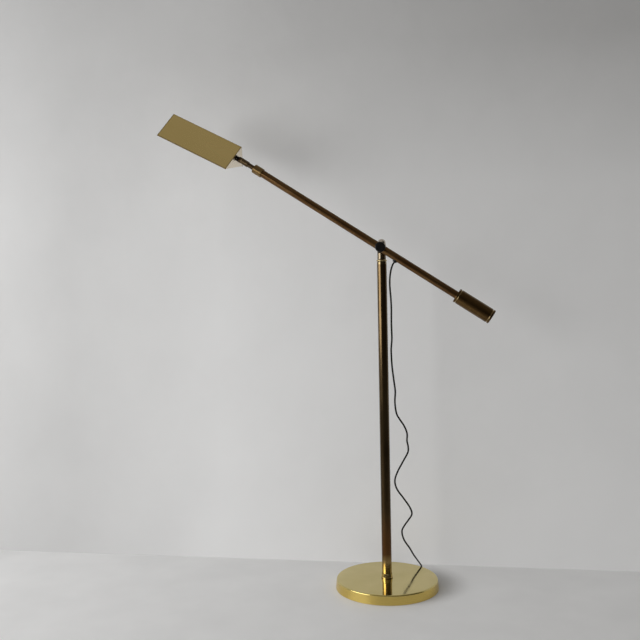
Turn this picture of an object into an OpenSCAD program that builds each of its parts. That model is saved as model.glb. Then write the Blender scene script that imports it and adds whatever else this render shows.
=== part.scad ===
// Counterbalance reading lamp: a weighted round base, a pole with a turning post,
// a swing arm with a counterweight, and a tent shade on a lapped knuckle.
// Millimetres, +Z up, origin at the middle of the underside, head towards -X.

/* [Base] */
// Diameter of the base at its lower rim
base_d = 259; // [220:1:320]
// How far the rim leans in from the lower edge to the top
base_draft = 2; // [0:0.5:6]
// Height of the base
base_h = 24.5; // [22:0.5:40]
// Sheet thickness of the spun cover
cover_wall = 1.5; // [1:0.1:2]
// Radius of the cover's top edge
cover_edge_r = 3; // [2.6:0.1:6]
// Thickness of the felt under the base
felt_t = 2; // [1:0.5:4]
// Diameter of the tie rod that holds the pole down
tie_d = 9.5; // [8:0.5:11]

/* [Pole] */
// Outside diameter of the pole
pole_d = 24.5; // [22:0.1:28]
// Wall of the pole
pole_wall = 1.5; // [1:0.1:2]
// Height of the pole's upper end
pole_top = 815; // [600:5:1100]
// How far the foot ring's flange stands out from the pole
foot_flange_w = 2.4; // [1.5:0.1:6]
// Height of the foot ring's flange
foot_flange_h = 3; // [2:0.5:8]
// Height of the flare above the flange
foot_flare_h = 9.2; // [3:0.2:14]

/* [Swivel] */
// Height of the plain band of the pole's bush
band_h = 6.6; // [4:0.2:12]
// Height of the bead on top of the bush
bead_h = 5.4; // [3:0.2:8]
// How far the bead stands out from the pole
bead_out = 0.9; // [0.4:0.1:3]
// Length of the bush inside the pole
bush_len = 30; // [15:1:60]
// Diameter of the turning post
post_d = 21.6; // [19:0.1:23]
// Diameter of the spindle under the post
spindle_d = 12; // [10.5:0.1:14]
// Height of the arm's pivot above the bush
pivot_rise = 27.9; // [24:0.1:60]
// Depth of the flat on the front of the post
post_flat = 3.5; // [1:0.1:4]
// Diameter of the pivot stud
stud_d = 6; // [5:0.5:8]
// Diameter of the clamp knob
knob_d = 25.5; // [20:0.5:40]
// Length of the clamp knob
knob_len = 15; // [12:0.5:25]

/* [Arm] */
// Outside diameter of the arm
arm_d = 19; // [17.5:0.1:20]
// Wall of the arm
arm_wall = 1.2; // [0.8:0.1:1.6]
// Rise of the arm towards the head, in degrees
arm_tilt = 33.6; // [0:0.1:60]
// Turn of the post away from the front, in degrees
swing = 9; // [-30:1:30]
// Pivot to the outer end of the arm's collar
head_reach = 386; // [250:1:500]
// Pivot to the outer end of the counterweight
tail_reach = 322.5; // [250:0.5:400]
// Diameter of the counterweight
weight_d = 37; // [28:0.1:50]
// Length of the counterweight
weight_len = 101; // [60:1:140]
// Depth of the arm's tail inside the counterweight
weight_grip = 30; // [20:1:50]
// Pivot to the lead's gland
gland_at = 47.8; // [35:0.1:80]

/* [Head joint] */
// Length of the collar on the arm's end
collar_len = 25; // [14:0.5:40]
// Wall of the collar round the arm
collar_wall = 2.1; // [1:0.1:3]
// Diameter of the turning stem
stem_d = 11.8; // [9:0.1:12.5]
// Length of stem that shows outside the collar
stem_show = 19.5; // [10:0.5:40]
// Diameter of the knuckle
knuckle_d = 14.8; // [14:0.1:18]
// Start of the knuckle to its hinge
knuckle_len = 19; // [17:0.5:30]
// Hinge to the shade's end cap
cap_gap = 13.5; // [13:0.5:25]
// Turn of the head about the arm, in degrees
head_roll = -17.3; // [-90:0.1:90]
// Nod of the shade about the knuckle, in degrees
head_nod = -5.8; // [-50:0.1:50]

/* [Shade] */
// Length of the shade
shade_len = 206.5; // [180:0.5:260]
// Width of each sloping side
slope_w = 79; // [76:0.5:110]
// Angle between the sides, in degrees
apex = 86; // [84:1:100]
// Sheet thickness of the shade
sheet = 0.9; // [0.6:0.1:1.5]
// Ridge to the lamp's centreline
ridge_up = 33.2; // [31:0.2:40]
// Width of the hem along the lower edges
hem_w = 5; // [3:0.5:10]
// Outside radius of the fold along the ridge
ridge_r = 2; // [1.2:0.1:4]

/* [Lamp] */
// Diameter of the lampholder
holder_d = 33; // [31:0.5:36]
// Length of the lampholder's shell
holder_len = 34; // [30:1:45]
// Diameter of the bulb
bulb_d = 30; // [26:0.5:36]
// Length of the bulb's glass
bulb_len = 98; // [60:1:110]

/* [Lead] */
// Diameter of the lead's tube
lead_d = 3.6; // [3:0.1:4]
// Height of the plug's body
plug_h = 12; // [11:0.5:18]

/* [Clearances] */
// Radial clearance of pins, threads and pressed pieces
fit = 0.05; // [0.02:0.01:0.1]
// Gap between pieces that pass each other
run_gap = 0.3; // [0.2:0.05:0.5]
// Gap between faces that turn on each other
face_gap = 0.1; // [0.05:0.01:0.2]

/* [Hidden] */
$fn = 64;

brass = [0.72, 0.58, 0.28];
aged_brass = [0.36, 0.25, 0.13];
black = [0.05, 0.05, 0.05];
steel = [0.6, 0.6, 0.62];

// Base: the cover sits on the iron weight, and the felt is under it
base_r = base_d / 2;
top_r = base_r - base_draft;
rim_lift = 1;
weight_inset = 1;
weight_r = top_r - cover_edge_r - weight_inset;
tie_r = tie_d / 2;
nut_t = 6.5;
nut_af = tie_d + 6.5;
base_washer_t = 2;
base_washer_r = tie_r + 9;
rod_end = 2.5;
rod_lift = 1;
nut_recess = nut_t + base_washer_t + rod_end;
recess_r = base_washer_r + 2;
recess_z = felt_t + nut_recess;
plug_len = 32;

// Pole and its turned ends
pole_r = pole_d / 2;
pole_ir = pole_r - pole_wall;
foot_edge_r = 0.8;
foot_wall = 0.5;
groove_h = 1.4;
groove_in = 1.2;
bush_top = pole_top + band_h + groove_h + bead_h;
thrust_t = 1;
post_r = post_d / 2;
spindle_r = spindle_d / 2;
spindle_end = pole_top - bush_len - run_gap;
thread_r = spindle_r - 2;
thread_len = 11;
post_washer_t = 1.2;
post_nut_t = 6.5;
pivot_z = bush_top + pivot_rise;
flat_half = 12.5;

// The pivot's stack, as distances in front of the pole's axis
stud_r = stud_d / 2;
arm_r = arm_d / 2;
arm_ir = arm_r - arm_wall;
washer_r = 9;
friction_t = 1;
saddle_web = 3.7;
front_web = 1.7;
saddle_wrap = 4;
flat_at = post_r - post_flat;
saddle_at = flat_at + friction_t + face_gap;
arm_out = saddle_at + saddle_web + arm_r;
front_at = arm_out + arm_r + front_web;
knob_washer_t = 1;
knob_at = front_at + face_gap + knob_washer_t + face_gap;
insert_r = stud_r + 2;
insert_len = knob_len - 5;
stud_in = post_r - 3;
knob_r = knob_d / 2;
knob_edge_r = 3;
knob_rim = 2;
knob_hollow = 1;
flutes = 18;
flute_r = 1.4;
flute_depth = 0.5;

// Arm pieces, along the arm from the pivot
weight_r_out = weight_d / 2;
weight_near = tail_reach - weight_len;
weight_edge_r = 1.5;
weight_groove = 2.6;
groove_inset = 6;
set_screw_r = 2.4;
set_screw_len = 6;
gland_r = 4.9;
gland_flange_r = 6.9;
gland_tip_r = 5;
gland_out = 3.4;
gland_sink = 3;
gland_bore_r = lead_d / 2 - 0.3;
gland_screw_at = gland_at + 1.4;
gland_screw_r = 1.3;
gland_head_r = 2.3;
gland_head_t = 1.2;
slot_w = 0.6;
slot_depth = 0.6;
wire_r = 1.3;
wire_gap = 0.15;
wire_stop = 6;
wire_up = arm_ir - wire_r - wire_gap;
grip_top = wire_up - wire_r - wire_gap;
collar_r = arm_r + fit + collar_wall;
collar_end = 6;
collar_edge_r = 0.6;
arm_head = head_reach - collar_end;
stem_r = stem_d / 2;
stem_flange_r = arm_ir - 0.6;
stem_flange_t = 3;
stem_washer_t = 0.6;
flange_at = arm_head - face_gap - stem_washer_t - stem_flange_t;
wire_bore_r = 2.4;
stem_seat = 8;

// Knuckle: two half laps on one screw
knuckle_r = knuckle_d / 2;
lap_r = knuckle_r - 0.25;
lap_gap = 0.2;
spot_at = knuckle_r - 1;
screw_r = 2;
screw_head_r = 3.4;
screw_head_t = 1.3;
spot_r = screw_head_r + 0.6;
lock_nut_af = 6;
lock_nut_t = 1.8;
knuckle_start = head_reach + stem_show;
hinge_at = knuckle_start + knuckle_len;
lap_step = lap_r + run_gap;
shoulder = 9;
neck_r = 4.5;
grommet_r = 6.4;
neck_nut_t = 3;
neck_nut_af = 13.5;

// Shade, in the frame of the head: x up to the ridge, y across, z along the lamp
half_apex = apex / 2;
// The round along the ridge meets the slopes at this slight angle
ridge_edge = 10;
ridge_deep = ridge_r * cos(ridge_edge);
ridge_cut = ridge_deep / tan(half_apex);
ridge_centre = ridge_up - ridge_deep / sin(half_apex);
inner_ridge = [ridge_up - sheet / sin(half_apex), 0];

// Lamp, along the lampholder from the neck's nut
holder_at = cap_gap + sheet + neck_nut_t;
holder_r = holder_d / 2;
holder_wall = 1;
holder_bead_at = 4;
holder_bead_r = 0.7;
liner_t = 0.7;
liner_short = 2;
cap_h = 14;
cap_neck_h = 4;
cone_top = 9.5;
core_r = holder_r - holder_wall - liner_t - 2 * fit;
core_top = 26;
shell_r = 13.5;
shell_t = 0.5;
shell_len = 18;
contact_t = 1;
contact_r = 3.5;
bulb_cap_r = shell_r - shell_t - 0.2;
bulb_cap_len = 24;
tip_r = 4.5;
tip_h = 1.1;
bulb_at = holder_at + core_top + contact_t + bulb_cap_len;
bulb_r = bulb_d / 2;
glass_t = 0.8;
glass_neck_r = bulb_cap_r - 0.5;
glass_shoulder = 12;
key_up = 18;
key_at = holder_at + key_up;
key_r = 2;
key_in = 7;
key_neck = 0.7;
key_h = 6;
key_w = 11;
key_t = 3.2;

// Hank: flat loops in two layers, drawn in at the waist, behind the base
lead_r = lead_d / 2;
lead_sides = 8;
lead_steps = 2;
length_steps = 8;
hank_sides = 6;
hank_rings = 24;
hank_gap_steps = 96;
hank_x = 6;
hank_back = 25;
hank_y = base_r + hank_back;
hank_half = 33;
hank_fold_r = 13.6;
hank_pitch = 4.8;
hank_waist = 9.6;
hank_loops = 3;
hank_lift = 0.2;
hank_layer_gap = 0.6;
hank_low = lead_r + hank_lift;
hank_high = hank_low + lead_d + hank_layer_gap;
hank_mid_r = hank_fold_r + hank_pitch * hank_loops / 4;
hank_loop_len = 4 * hank_half + 2 * PI * hank_mid_r;
run_share = 2 * hank_half / hank_loop_len;
hank_turns = hank_loops + run_share;
hank_out_r = hank_fold_r + hank_pitch * hank_turns / 2;
hank_start = [hank_x + hank_half + lead_d, hank_y - hank_out_r, hank_low];
hank_end = [hank_x - hank_half - lead_d, hank_y - hank_out_r, hank_high];
tie_w = 8;
tie_t = 1.2;
tie_slack = 0.4;

// Plug, laid along the rim of the base
plug_angle = 122;
plug_back = 12.5;
plug_r = base_r + plug_back;
plug_half_w = 9.5;
plug_body_len = 26;
plug_relief = 9;
plug_relief_wall = 0.6;
blade_w = 6.3;
blade_t = 1.5;
blade_len = 24;
blade_space = 12.7;
blade_at = plug_body_len / 2 - 8;
plug_turn = plug_angle + 90;
plug_mid = [plug_r * cos(plug_angle), plug_r * sin(plug_angle), plug_h / 2];
plug_dir = [cos(plug_turn), sin(plug_turn), 0];
plug_entry = plug_mid - plug_dir * (plug_body_len / 2 + plug_relief);

// Lead: the route hangs from the gland, goes over the rim of the base and meets the hank behind it
route_top_z = 819.1;
route_rim_z = 27;
route_base_r = 129.5;
rim_gap = 0.7;
rim_z = base_h + lead_r + rim_gap;
gland_tip = arm_point([-(arm_r + gland_out), 0, -gland_at]);
gland_exit = [for (i = [0 : 2]) arm_point([-(arm_r + gland_out + i * lead_d), 0, -gland_at])];
hang_top = [[21, -20, 800], [18, -19, 780], [18, -17, 757], [20, -15, 730]];
hang_join = [21, -13, 706];
hang_drop = [[21, -8, 664], [22, -3, 627], [20, 0, 599], [22, 5, 559], [27, 11, 518], [30, 14, 493],
    [29, 18, 465], [33, 23, 436], [42, 26, 419], [53, 29, 402], [60, 31, 383], [60, 34, 363],
    [63, 37, 348], [62, 40, 332], [49, 44, 307], [35, 50, 279], [29, 55, 256], [35, 60, 233],
    [53, 65, 207], [69, 71, 182], [74, 75, 164], [65, 78, 148], [54, 80, 132], [48, 82, 117],
    [53, 83, 95], [68, 83, 72], [77, 83, 56], [88, 82, 40], [97, 82.5, 27]];
over_rim = [[98, 88, 18], [99, 97, 9], [96, 112, 4]];
floor_turn = [[84, hank_start[1] - 3, hank_low], [62, hank_start[1], hank_low],
    [hank_start[0] + lead_d, hank_start[1], hank_low]];
lead_route = [each gland_exit, for (p = [each hang_top, hang_join, each hang_drop]) placed(p),
    for (p = over_rim) beside_base(p), each floor_turn, hank_start];
join_at = len(gland_exit) + len(hang_top);
tail_route = [for (i = [0 : 2]) hank_end - [i * lead_d, 0, 0],
    for (i = [2, 1, 0]) plug_entry - plug_dir * i * lead_d];

// A route point moved with the height of the gland and the size of the base
function placed(p) =
    let (t = (p[2] - route_rim_z) / (route_top_z - route_rim_z), out = t + (1 - t) * base_r / route_base_r)
    [p[0] * out, p[1] * out, rim_z + t * (gland_tip[2] - rim_z)];
function beside_base(p) =
    let (out = base_r / route_base_r)
    [p[0] * out, p[1] * out, p[2] * rim_z / route_rim_z];

// A point of the arm's own frame, placed in the lamp
function arm_point(p) =
    let (a = arm_tilt - 90,
        q = [p[0] * cos(a) + p[2] * sin(a), p[1] - arm_out, p[2] * cos(a) - p[0] * sin(a) + pivot_z])
    [q[0] * cos(swing) + q[1] * sin(swing), q[1] * cos(swing) - q[0] * sin(swing), q[2]];

// A smooth curve through the points of a route
function curve_at(p, i, t) =
    let (n = len(p) - 1, a = p[max(i - 1, 0)], b = p[i], c = p[i + 1], d = p[min(i + 2, n)])
    (2 * b + (c - a) * t + (2 * a - 5 * b + 4 * c - d) * t * t + (3 * b - a - 3 * c + d) * t * t * t) / 2;
function smooth(p, steps) =
    [for (i = [0 : len(p) - 2], k = [0 : steps - 1]) curve_at(p, i, k / steps), p[len(p) - 1]];
function unit(v) = v / norm(v);
function tangent(c, i) = unit(c[min(i + 1, len(c) - 1)] - c[max(i - 1, 0)]);
function square_to(v, t) = unit(v - (v * t) * t);

// Rings of a tube along part of a curve, each turned as little as it can be
function tube_sides(c, first) =
    [for (i = 0, n = square_to(first, tangent(c, 0)); i < len(c);
        i = i + 1, n = i < len(c) ? square_to(n, tangent(c, i)) : n) n];
module tube(c, from, to, sides, first) {
    n = tube_sides(c, first);
    m = to - from;
    points = [for (i = [from : to], j = [0 : sides - 1])
        let (a = 360 * j / sides)
        c[i] + lead_r * (cos(a) * n[i] + sin(a) * cross(tangent(c, i), n[i]))];
    walls = [for (i = [0 : m - 1], j = [0 : sides - 1])
        let (k = (j + 1) % sides, a = i * sides + j, b = i * sides + k, d = a + sides, e = b + sides)
        each [[a, d, e], [a, e, b]]];
    near = [for (j = [1 : sides - 2]) [0, j, j + 1]];
    far = [for (j = [1 : sides - 2]) [m * sides, m * sides + j + 1, m * sides + j]];
    polyhedron(points, concat(walls, near, far));
}

// One point of the hank after u turns: near run, fold, far run, fold
function hank_r(u) = hank_out_r - hank_pitch * (u < hank_turns / 2 ? u : hank_turns - u);
function hank_draw(x) = hank_waist * (1 + cos(180 * x / hank_half)) / 2;
function hank_rise(u) =
    let (t = min(max((u - hank_loops / 2) / run_share, 0), 1))
    hank_low + (hank_high - hank_low) * t * t * (3 - 2 * t);
function hank_flat(phase, r) =
    let (fold = 0.5 - run_share)
    phase < run_share ? let (x = hank_half * (1 - 2 * phase / run_share)) [x, hank_draw(x) - r]
    : phase < 0.5 ? let (a = 180 * (phase - run_share) / fold) [-hank_half - r * sin(a), -r * cos(a)]
    : phase < 0.5 + run_share
        ? let (x = hank_half * (2 * (phase - 0.5) / run_share - 1)) [x, r - hank_draw(x)]
    : let (a = 180 * (phase - 0.5 - run_share) / fold) [hank_half + r * sin(a), r * cos(a)];
function hank_point(u) =
    let (q = hank_flat(u - floor(u), hank_r(u))) [hank_x + q[0], hank_y + q[1], hank_rise(u)];
function hank_curve(rings) =
    [hank_start, for (i = [0 : floor(hank_turns * rings)]) hank_point(i / rings),
        hank_point(hank_turns), hank_end];
function curve_length(c) = [for (i = 1, s = 0; i <= len(c); i = i + 1,
    s = s + (i <= len(c) ? norm(c[i - 1] - c[i - 2]) : 0)) s][len(c) - 1];

// Least gap of the hank to itself, and the lead's length, measured on points
gap_curve = hank_curve(hank_gap_steps);
gap_skip = ceil(hank_gap_steps / 4);
hank_gap = min([for (i = [0 : len(gap_curve) - 1 - gap_skip], j = [i + gap_skip : len(gap_curve) - 1])
    norm(gap_curve[i] - gap_curve[j])]) - lead_d;
hung_length = curve_length(smooth(lead_route, length_steps));
hank_length = curve_length(gap_curve);
tail_length = curve_length(smooth(tail_route, length_steps));
echo(hank_gap = hank_gap, hung = hung_length, hank = hank_length, tail = tail_length, tip = gland_tip);

// Frames of the moving pieces, at the photographed pose
module on_post() { rotate([0, 0, -swing]) children(); }
module on_arm() { on_post() translate([0, -arm_out, pivot_z]) rotate([0, arm_tilt - 90, 0]) children(); }
module on_stem() { on_arm() rotate([0, 0, head_roll]) children(); }
module on_hinge() { on_stem() translate([0, 0, hinge_at]) children(); }
module on_head() { on_hinge() rotate([0, head_nod, 0]) children(); }
// Along the pivot stud, towards the front
module on_pivot() { on_post() translate([0, 0, pivot_z]) rotate([90, 0, 0]) children(); }
// Down from the arm's axis at the gland
module on_gland() { on_arm() translate([0, 0, -gland_at]) rotate([0, -90, 0]) children(); }

module ring(r_out, r_in, h) {
    difference() {
        cylinder(r = r_out, h = h);
        translate([0, 0, -1]) cylinder(r = r_in, h = h + 2);
    }
}
module hex_nut(across, r_in, h) {
    difference() {
        cylinder(d = across / cos(30), h = h, $fn = 6);
        translate([0, 0, -1]) cylinder(r = r_in, h = h + 2);
    }
}
// A bar of round section with rounded end edges, drawn as half a profile
module round_bar(r, h, edge) {
    square([r - edge, h]);
    translate([0, edge]) square([r, h - 2 * edge]);
    for (z = [edge, h - edge]) translate([r - edge, z]) circle(edge);
}

module cover_profile(inset) {
    r = cover_edge_r - inset;
    z = base_h - cover_edge_r;
    polygon([[0, rim_lift - inset], [base_r - inset, rim_lift - inset], [top_r - inset, z],
        [top_r - cover_edge_r, z], [top_r - cover_edge_r, base_h - inset], [0, base_h - inset]]);
    intersection() {
        translate([top_r - cover_edge_r, z]) circle(r);
        translate([top_r - cover_edge_r - 0.1, z]) square(cover_edge_r + 1);
    }
}
module base_cover() {
    color(brass) rotate_extrude($fn = 128) difference() {
        cover_profile(0);
        cover_profile(cover_wall);
        square([tie_r + run_gap, base_h + 1]);
    }
}
module base_weight() {
    color([0.2, 0.2, 0.21]) difference() {
        translate([0, 0, felt_t]) cylinder(r = weight_r, h = base_h - cover_wall - felt_t);
        cylinder(r = tie_r + run_gap, h = base_h);
        cylinder(r = recess_r, h = recess_z);
    }
}
module base_felt() { color([0.12, 0.16, 0.13]) cylinder(r = weight_r, h = felt_t); }
module base_washer() {
    color(steel) translate([0, 0, recess_z - base_washer_t])
        ring(base_washer_r, tie_r + fit, base_washer_t);
}
module base_nut() {
    color(steel) translate([0, 0, recess_z - base_washer_t - nut_t]) hex_nut(nut_af, tie_r + fit, nut_t);
}
module tie_rod() {
    color(steel) translate([0, 0, felt_t + rod_lift])
        cylinder(r = tie_r, h = base_h - felt_t - rod_lift + plug_len);
}
module foot_ring() {
    flange = foot_flange_w - fit;
    color(brass) translate([0, 0, base_h]) rotate_extrude() translate([pole_r + fit, 0]) {
        square([flange, foot_flange_h - foot_edge_r]);
        translate([flange - foot_edge_r, foot_flange_h - foot_edge_r]) circle(foot_edge_r);
        polygon([[0, 0], [flange - foot_edge_r, 0], [flange - foot_edge_r, foot_flange_h],
            [foot_wall, foot_flange_h + foot_flare_h], [0, foot_flange_h + foot_flare_h]]);
    }
}
module pole_tube() { color(aged_brass) translate([0, 0, base_h]) ring(pole_r, pole_ir, pole_top - base_h); }
module pole_plug() {
    color(steel) translate([0, 0, base_h]) ring(pole_ir - fit, tie_r + fit, plug_len);
}
module pole_bush() {
    color(brass) difference() {
        union() {
            translate([0, 0, pole_top - bush_len]) cylinder(r = pole_ir - fit, h = bush_len);
            translate([0, 0, pole_top]) cylinder(r = pole_r, h = band_h);
            translate([0, 0, pole_top]) cylinder(r = pole_r - groove_in, h = band_h + groove_h + bead_h);
            translate([0, 0, bush_top - bead_h]) rotate_extrude() {
                square([pole_r + bead_out - bead_h / 2, bead_h]);
                translate([pole_r + bead_out - bead_h / 2, bead_h / 2]) circle(d = bead_h);
            }
        }
        translate([0, 0, spindle_end - 1]) cylinder(r = spindle_r + fit, h = bush_top - spindle_end + 2);
    }
}
module thrust_washer() {
    color([0.85, 0.84, 0.8]) translate([0, 0, bush_top]) ring(post_r - 0.5, spindle_r + fit, thrust_t);
}

module swivel_post() {
    post_at = bush_top + thrust_t + face_gap;
    dome_z = pivot_z + flat_half + 1;
    color(brass) on_post() difference() {
        union() {
            translate([0, 0, post_at]) cylinder(r = post_r, h = dome_z - post_at);
            translate([0, 0, dome_z]) intersection() {
                sphere(post_r);
                cylinder(r = post_r + 1, h = post_r + 1);
            }
            translate([0, 0, spindle_end]) cylinder(r = spindle_r, h = post_at - spindle_end + 1);
            translate([0, 0, spindle_end - thread_len]) cylinder(r = thread_r, h = thread_len + 1);
        }
        translate([-post_r - 1, -post_r - 1, pivot_z - flat_half])
            cube([post_d + 2, post_r + 1 - flat_at, 2 * flat_half]);
        translate([0, stud_in, pivot_z]) rotate([90, 0, 0]) cylinder(r = stud_r + fit, h = post_d);
    }
}
module post_washer() {
    color(steel) on_post() translate([0, 0, spindle_end - post_washer_t])
        ring(pole_ir - 1, thread_r + fit, post_washer_t);
}
module post_nut() {
    color(steel) on_post() translate([0, 0, spindle_end - post_washer_t - post_nut_t])
        hex_nut(2 * thread_r + 5, thread_r + fit, post_nut_t);
}
module pivot_stud() {
    color(steel) on_pivot() translate([0, 0, -stud_in])
        cylinder(r = stud_r, h = stud_in + knob_at + insert_len - 1);
}
module friction_washer() {
    color(black) on_pivot() translate([0, 0, flat_at]) ring(washer_r, stud_r + fit, friction_t);
}
module knob_washer() {
    color(steel) on_pivot() translate([0, 0, front_at + face_gap])
        ring(washer_r - 1, stud_r + fit, knob_washer_t);
}
module clamp_knob() {
    color(black) on_pivot() translate([0, 0, knob_at]) difference() {
        rotate_extrude() difference() {
            round_bar(knob_r, knob_len, knob_edge_r);
            translate([0, -1]) square([insert_r + fit, insert_len + 1]);
            square([knob_r - knob_rim, knob_hollow]);
        }
        for (i = [0 : flutes - 1]) rotate([0, 0, 360 * i / flutes])
            translate([knob_r + flute_r - flute_depth, 0, -1]) cylinder(r = flute_r, h = knob_len + 2);
    }
}
module knob_insert() {
    color(brass) on_pivot() translate([0, 0, knob_at]) ring(insert_r, stud_r + fit, insert_len);
}

module arm_tube() {
    tail = weight_near + weight_grip;
    color(aged_brass) on_arm() difference() {
        translate([0, 0, -tail]) ring(arm_r, arm_ir, tail + arm_head);
        rotate([90, 0, 0]) cylinder(r = stud_r + run_gap, h = arm_d + 2, center = true);
        translate([0, 0, -gland_at]) rotate([0, -90, 0]) cylinder(r = gland_r + fit, h = arm_d);
        translate([0, 0, -gland_screw_at]) rotate([90, 0, 0]) cylinder(r = gland_screw_r + fit, h = arm_d);
    }
}
// A cheek shaped to the arm on one side and flat on the other
module saddle(near, far) {
    difference() {
        on_pivot() translate([0, 0, near]) cylinder(r = washer_r, h = far - near);
        on_pivot() translate([0, 0, near - 1]) cylinder(r = stud_r + run_gap, h = far - near + 2);
        on_arm() translate([0, 0, -2 * washer_r]) cylinder(r = arm_r + fit, h = 4 * washer_r);
    }
}
module rear_saddle() { color(black) saddle(saddle_at, arm_out - saddle_wrap); }
module front_saddle() { color(aged_brass) saddle(arm_out + saddle_wrap, front_at); }
module cord_gland() {
    color(black) on_gland() difference() {
        union() {
            translate([0, 0, -grip_top]) cylinder(r = gland_r, h = grip_top + arm_r + gland_out);
            difference() {
                translate([0, 0, arm_r - gland_sink])
                    cylinder(r1 = gland_flange_r, r2 = gland_tip_r, h = gland_out + gland_sink);
                rotate([0, 90, 0]) cylinder(r = arm_r + fit, h = 4 * gland_flange_r, center = true);
            }
        }
        translate([0, 0, -grip_top - 1]) cylinder(r = gland_bore_r, h = grip_top + arm_r + gland_out + 2);
    }
}
module gland_screw() {
    head_top = arm_r + gland_head_t;
    color(brass) on_arm() translate([0, 0, -gland_screw_at]) rotate([90, 0, 0]) difference() {
        union() {
            translate([0, 0, gland_r + face_gap]) cylinder(r = gland_screw_r, h = arm_r - gland_r);
            difference() {
                translate([0, 0, arm_r - gland_head_t]) cylinder(r = gland_head_r, h = 2 * gland_head_t);
                rotate([90, 0, 0]) cylinder(r = arm_r + fit, h = 4 * gland_head_r, center = true);
            }
        }
        translate([-gland_head_r - 1, -slot_w / 2, head_top - slot_depth])
            cube([2 * gland_head_r + 2, slot_w, slot_depth + 1]);
    }
}
module inner_lead() {
    color(black) on_arm() translate([wire_up, 0, -gland_at])
        cylinder(r = wire_r, h = gland_at + flange_at - wire_stop);
}
module counterweight() {
    color(aged_brass) on_arm() difference() {
        translate([0, 0, -tail_reach]) rotate_extrude() difference() {
            round_bar(weight_r_out, weight_len, weight_edge_r);
            for (z = [groove_inset, weight_len - groove_inset])
                translate([weight_r_out, z]) circle(d = weight_groove);
            translate([0, weight_len - weight_grip]) square([arm_r + fit, weight_grip + 1]);
        }
        translate([0, 0, -weight_near - weight_grip / 2]) rotate([0, -90, 0])
            cylinder(r = set_screw_r + fit, h = weight_d);
    }
}
module weight_screw() {
    color(steel) on_arm() translate([0, 0, -weight_near - weight_grip / 2]) rotate([0, -90, 0])
        difference() {
            translate([0, 0, arm_r + face_gap]) cylinder(r = set_screw_r, h = set_screw_len);
            translate([-slot_w / 2, -weight_r_out, arm_r + set_screw_len - slot_depth])
                cube([slot_w, weight_d, slot_depth + 1]);
        }
}
module arm_collar() {
    color(brass) on_arm() translate([0, 0, head_reach - collar_len]) rotate_extrude() difference() {
        round_bar(collar_r, collar_len, collar_edge_r);
        square([arm_r + fit, collar_len - collar_end]);
        square([stem_r + fit, collar_len + 1]);
    }
}

module head_stem() {
    color(aged_brass) on_stem() difference() {
        union() {
            translate([0, 0, flange_at]) cylinder(r = stem_r, h = knuckle_start + stem_seat - flange_at);
            translate([0, 0, flange_at]) cylinder(r = stem_flange_r, h = stem_flange_t);
        }
        translate([0, 0, flange_at - 1])
            cylinder(r = wire_bore_r, h = knuckle_start - flange_at + stem_seat + 2);
    }
}
module stem_washer() {
    color(steel) on_stem() translate([0, 0, flange_at + stem_flange_t])
        ring(stem_flange_r, stem_r + fit, stem_washer_t);
}
// Half of a lapped joint: solid below the hinge on one side, round about the hinge
module half_lap(side, back) {
    y = side > 0 ? lap_gap / 2 : -knuckle_r;
    difference() {
        intersection() {
            translate([0, 0, -back]) cylinder(r = knuckle_r, h = back + lap_r);
            translate([-knuckle_r, y, -back]) cube([knuckle_d, knuckle_r - lap_gap / 2, back + lap_r]);
            union() {
                translate([-knuckle_r, -knuckle_r, -back]) cube([knuckle_d, knuckle_d, back]);
                rotate([90, 0, 0]) cylinder(r = lap_r, h = knuckle_d, center = true);
            }
        }
        rotate([90, 0, 0]) cylinder(r = screw_r + fit, h = knuckle_d + 2, center = true);
        rotate([-90 * side, 0, 0]) translate([0, 0, spot_at]) cylinder(r = spot_r, h = knuckle_r);
    }
}
module knuckle_body() {
    color(aged_brass) on_hinge() difference() {
        union() {
            half_lap(-1, knuckle_len);
            translate([0, 0, -knuckle_len]) cylinder(r = knuckle_r, h = knuckle_len - lap_step);
        }
        translate([0, 0, -knuckle_len - 1]) cylinder(r = stem_r + fit, h = stem_seat + 1);
    }
}
module knuckle_screw() {
    color(steel) on_hinge() rotate([90, 0, 0]) difference() {
        union() {
            translate([0, 0, -spot_at - lock_nut_t]) cylinder(r = screw_r, h = 2 * spot_at + lock_nut_t);
            translate([0, 0, spot_at]) cylinder(r = screw_head_r, h = screw_head_t);
        }
        translate([-screw_head_r - 1, -slot_w / 2, spot_at + screw_head_t - slot_depth])
            cube([2 * screw_head_r + 2, slot_w, slot_depth + 1]);
    }
}
module knuckle_nut() {
    color(steel) on_hinge() rotate([-90, 0, 0]) translate([0, 0, spot_at + face_gap])
        hex_nut(lock_nut_af, screw_r + fit, lock_nut_t - face_gap);
}
module knuckle_tongue() {
    color([0.16, 0.11, 0.06]) on_head() difference() {
        union() {
            mirror([0, 0, 1]) half_lap(1, lap_step);
            translate([0, 0, lap_step]) cylinder(r = knuckle_r, h = shoulder - lap_step);
            translate([0, 0, lap_step]) cylinder(r = neck_r, h = holder_at + cap_neck_h - lap_step);
        }
        translate([0, 0, lap_step + 1]) cylinder(r = wire_bore_r, h = holder_at);
    }
}
module cap_grommet() {
    color(black) on_head() translate([0, 0, shoulder]) ring(grommet_r, neck_r + fit, cap_gap - shoulder);
}
module neck_nut() {
    color(brass) on_head() translate([0, 0, cap_gap + sheet])
        hex_nut(neck_nut_af, neck_r + fit, neck_nut_t);
}

// A point of the cross-section: down the slope from the ridge, then in from the outside
function slope_point(down, inside) =
    [ridge_up - down * cos(half_apex) - inside * sin(half_apex),
        down * sin(half_apex) - inside * cos(half_apex)];
function across(point) = [point[0], -point[1]];
// What the round along the ridge takes off
module ridge_waste() {
    reach = 2 * ridge_r;
    difference() {
        translate([ridge_up - ridge_cut * cos(half_apex), -reach]) square([reach, 2 * reach]);
        translate([ridge_centre, 0]) circle(ridge_r);
    }
}
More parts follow.
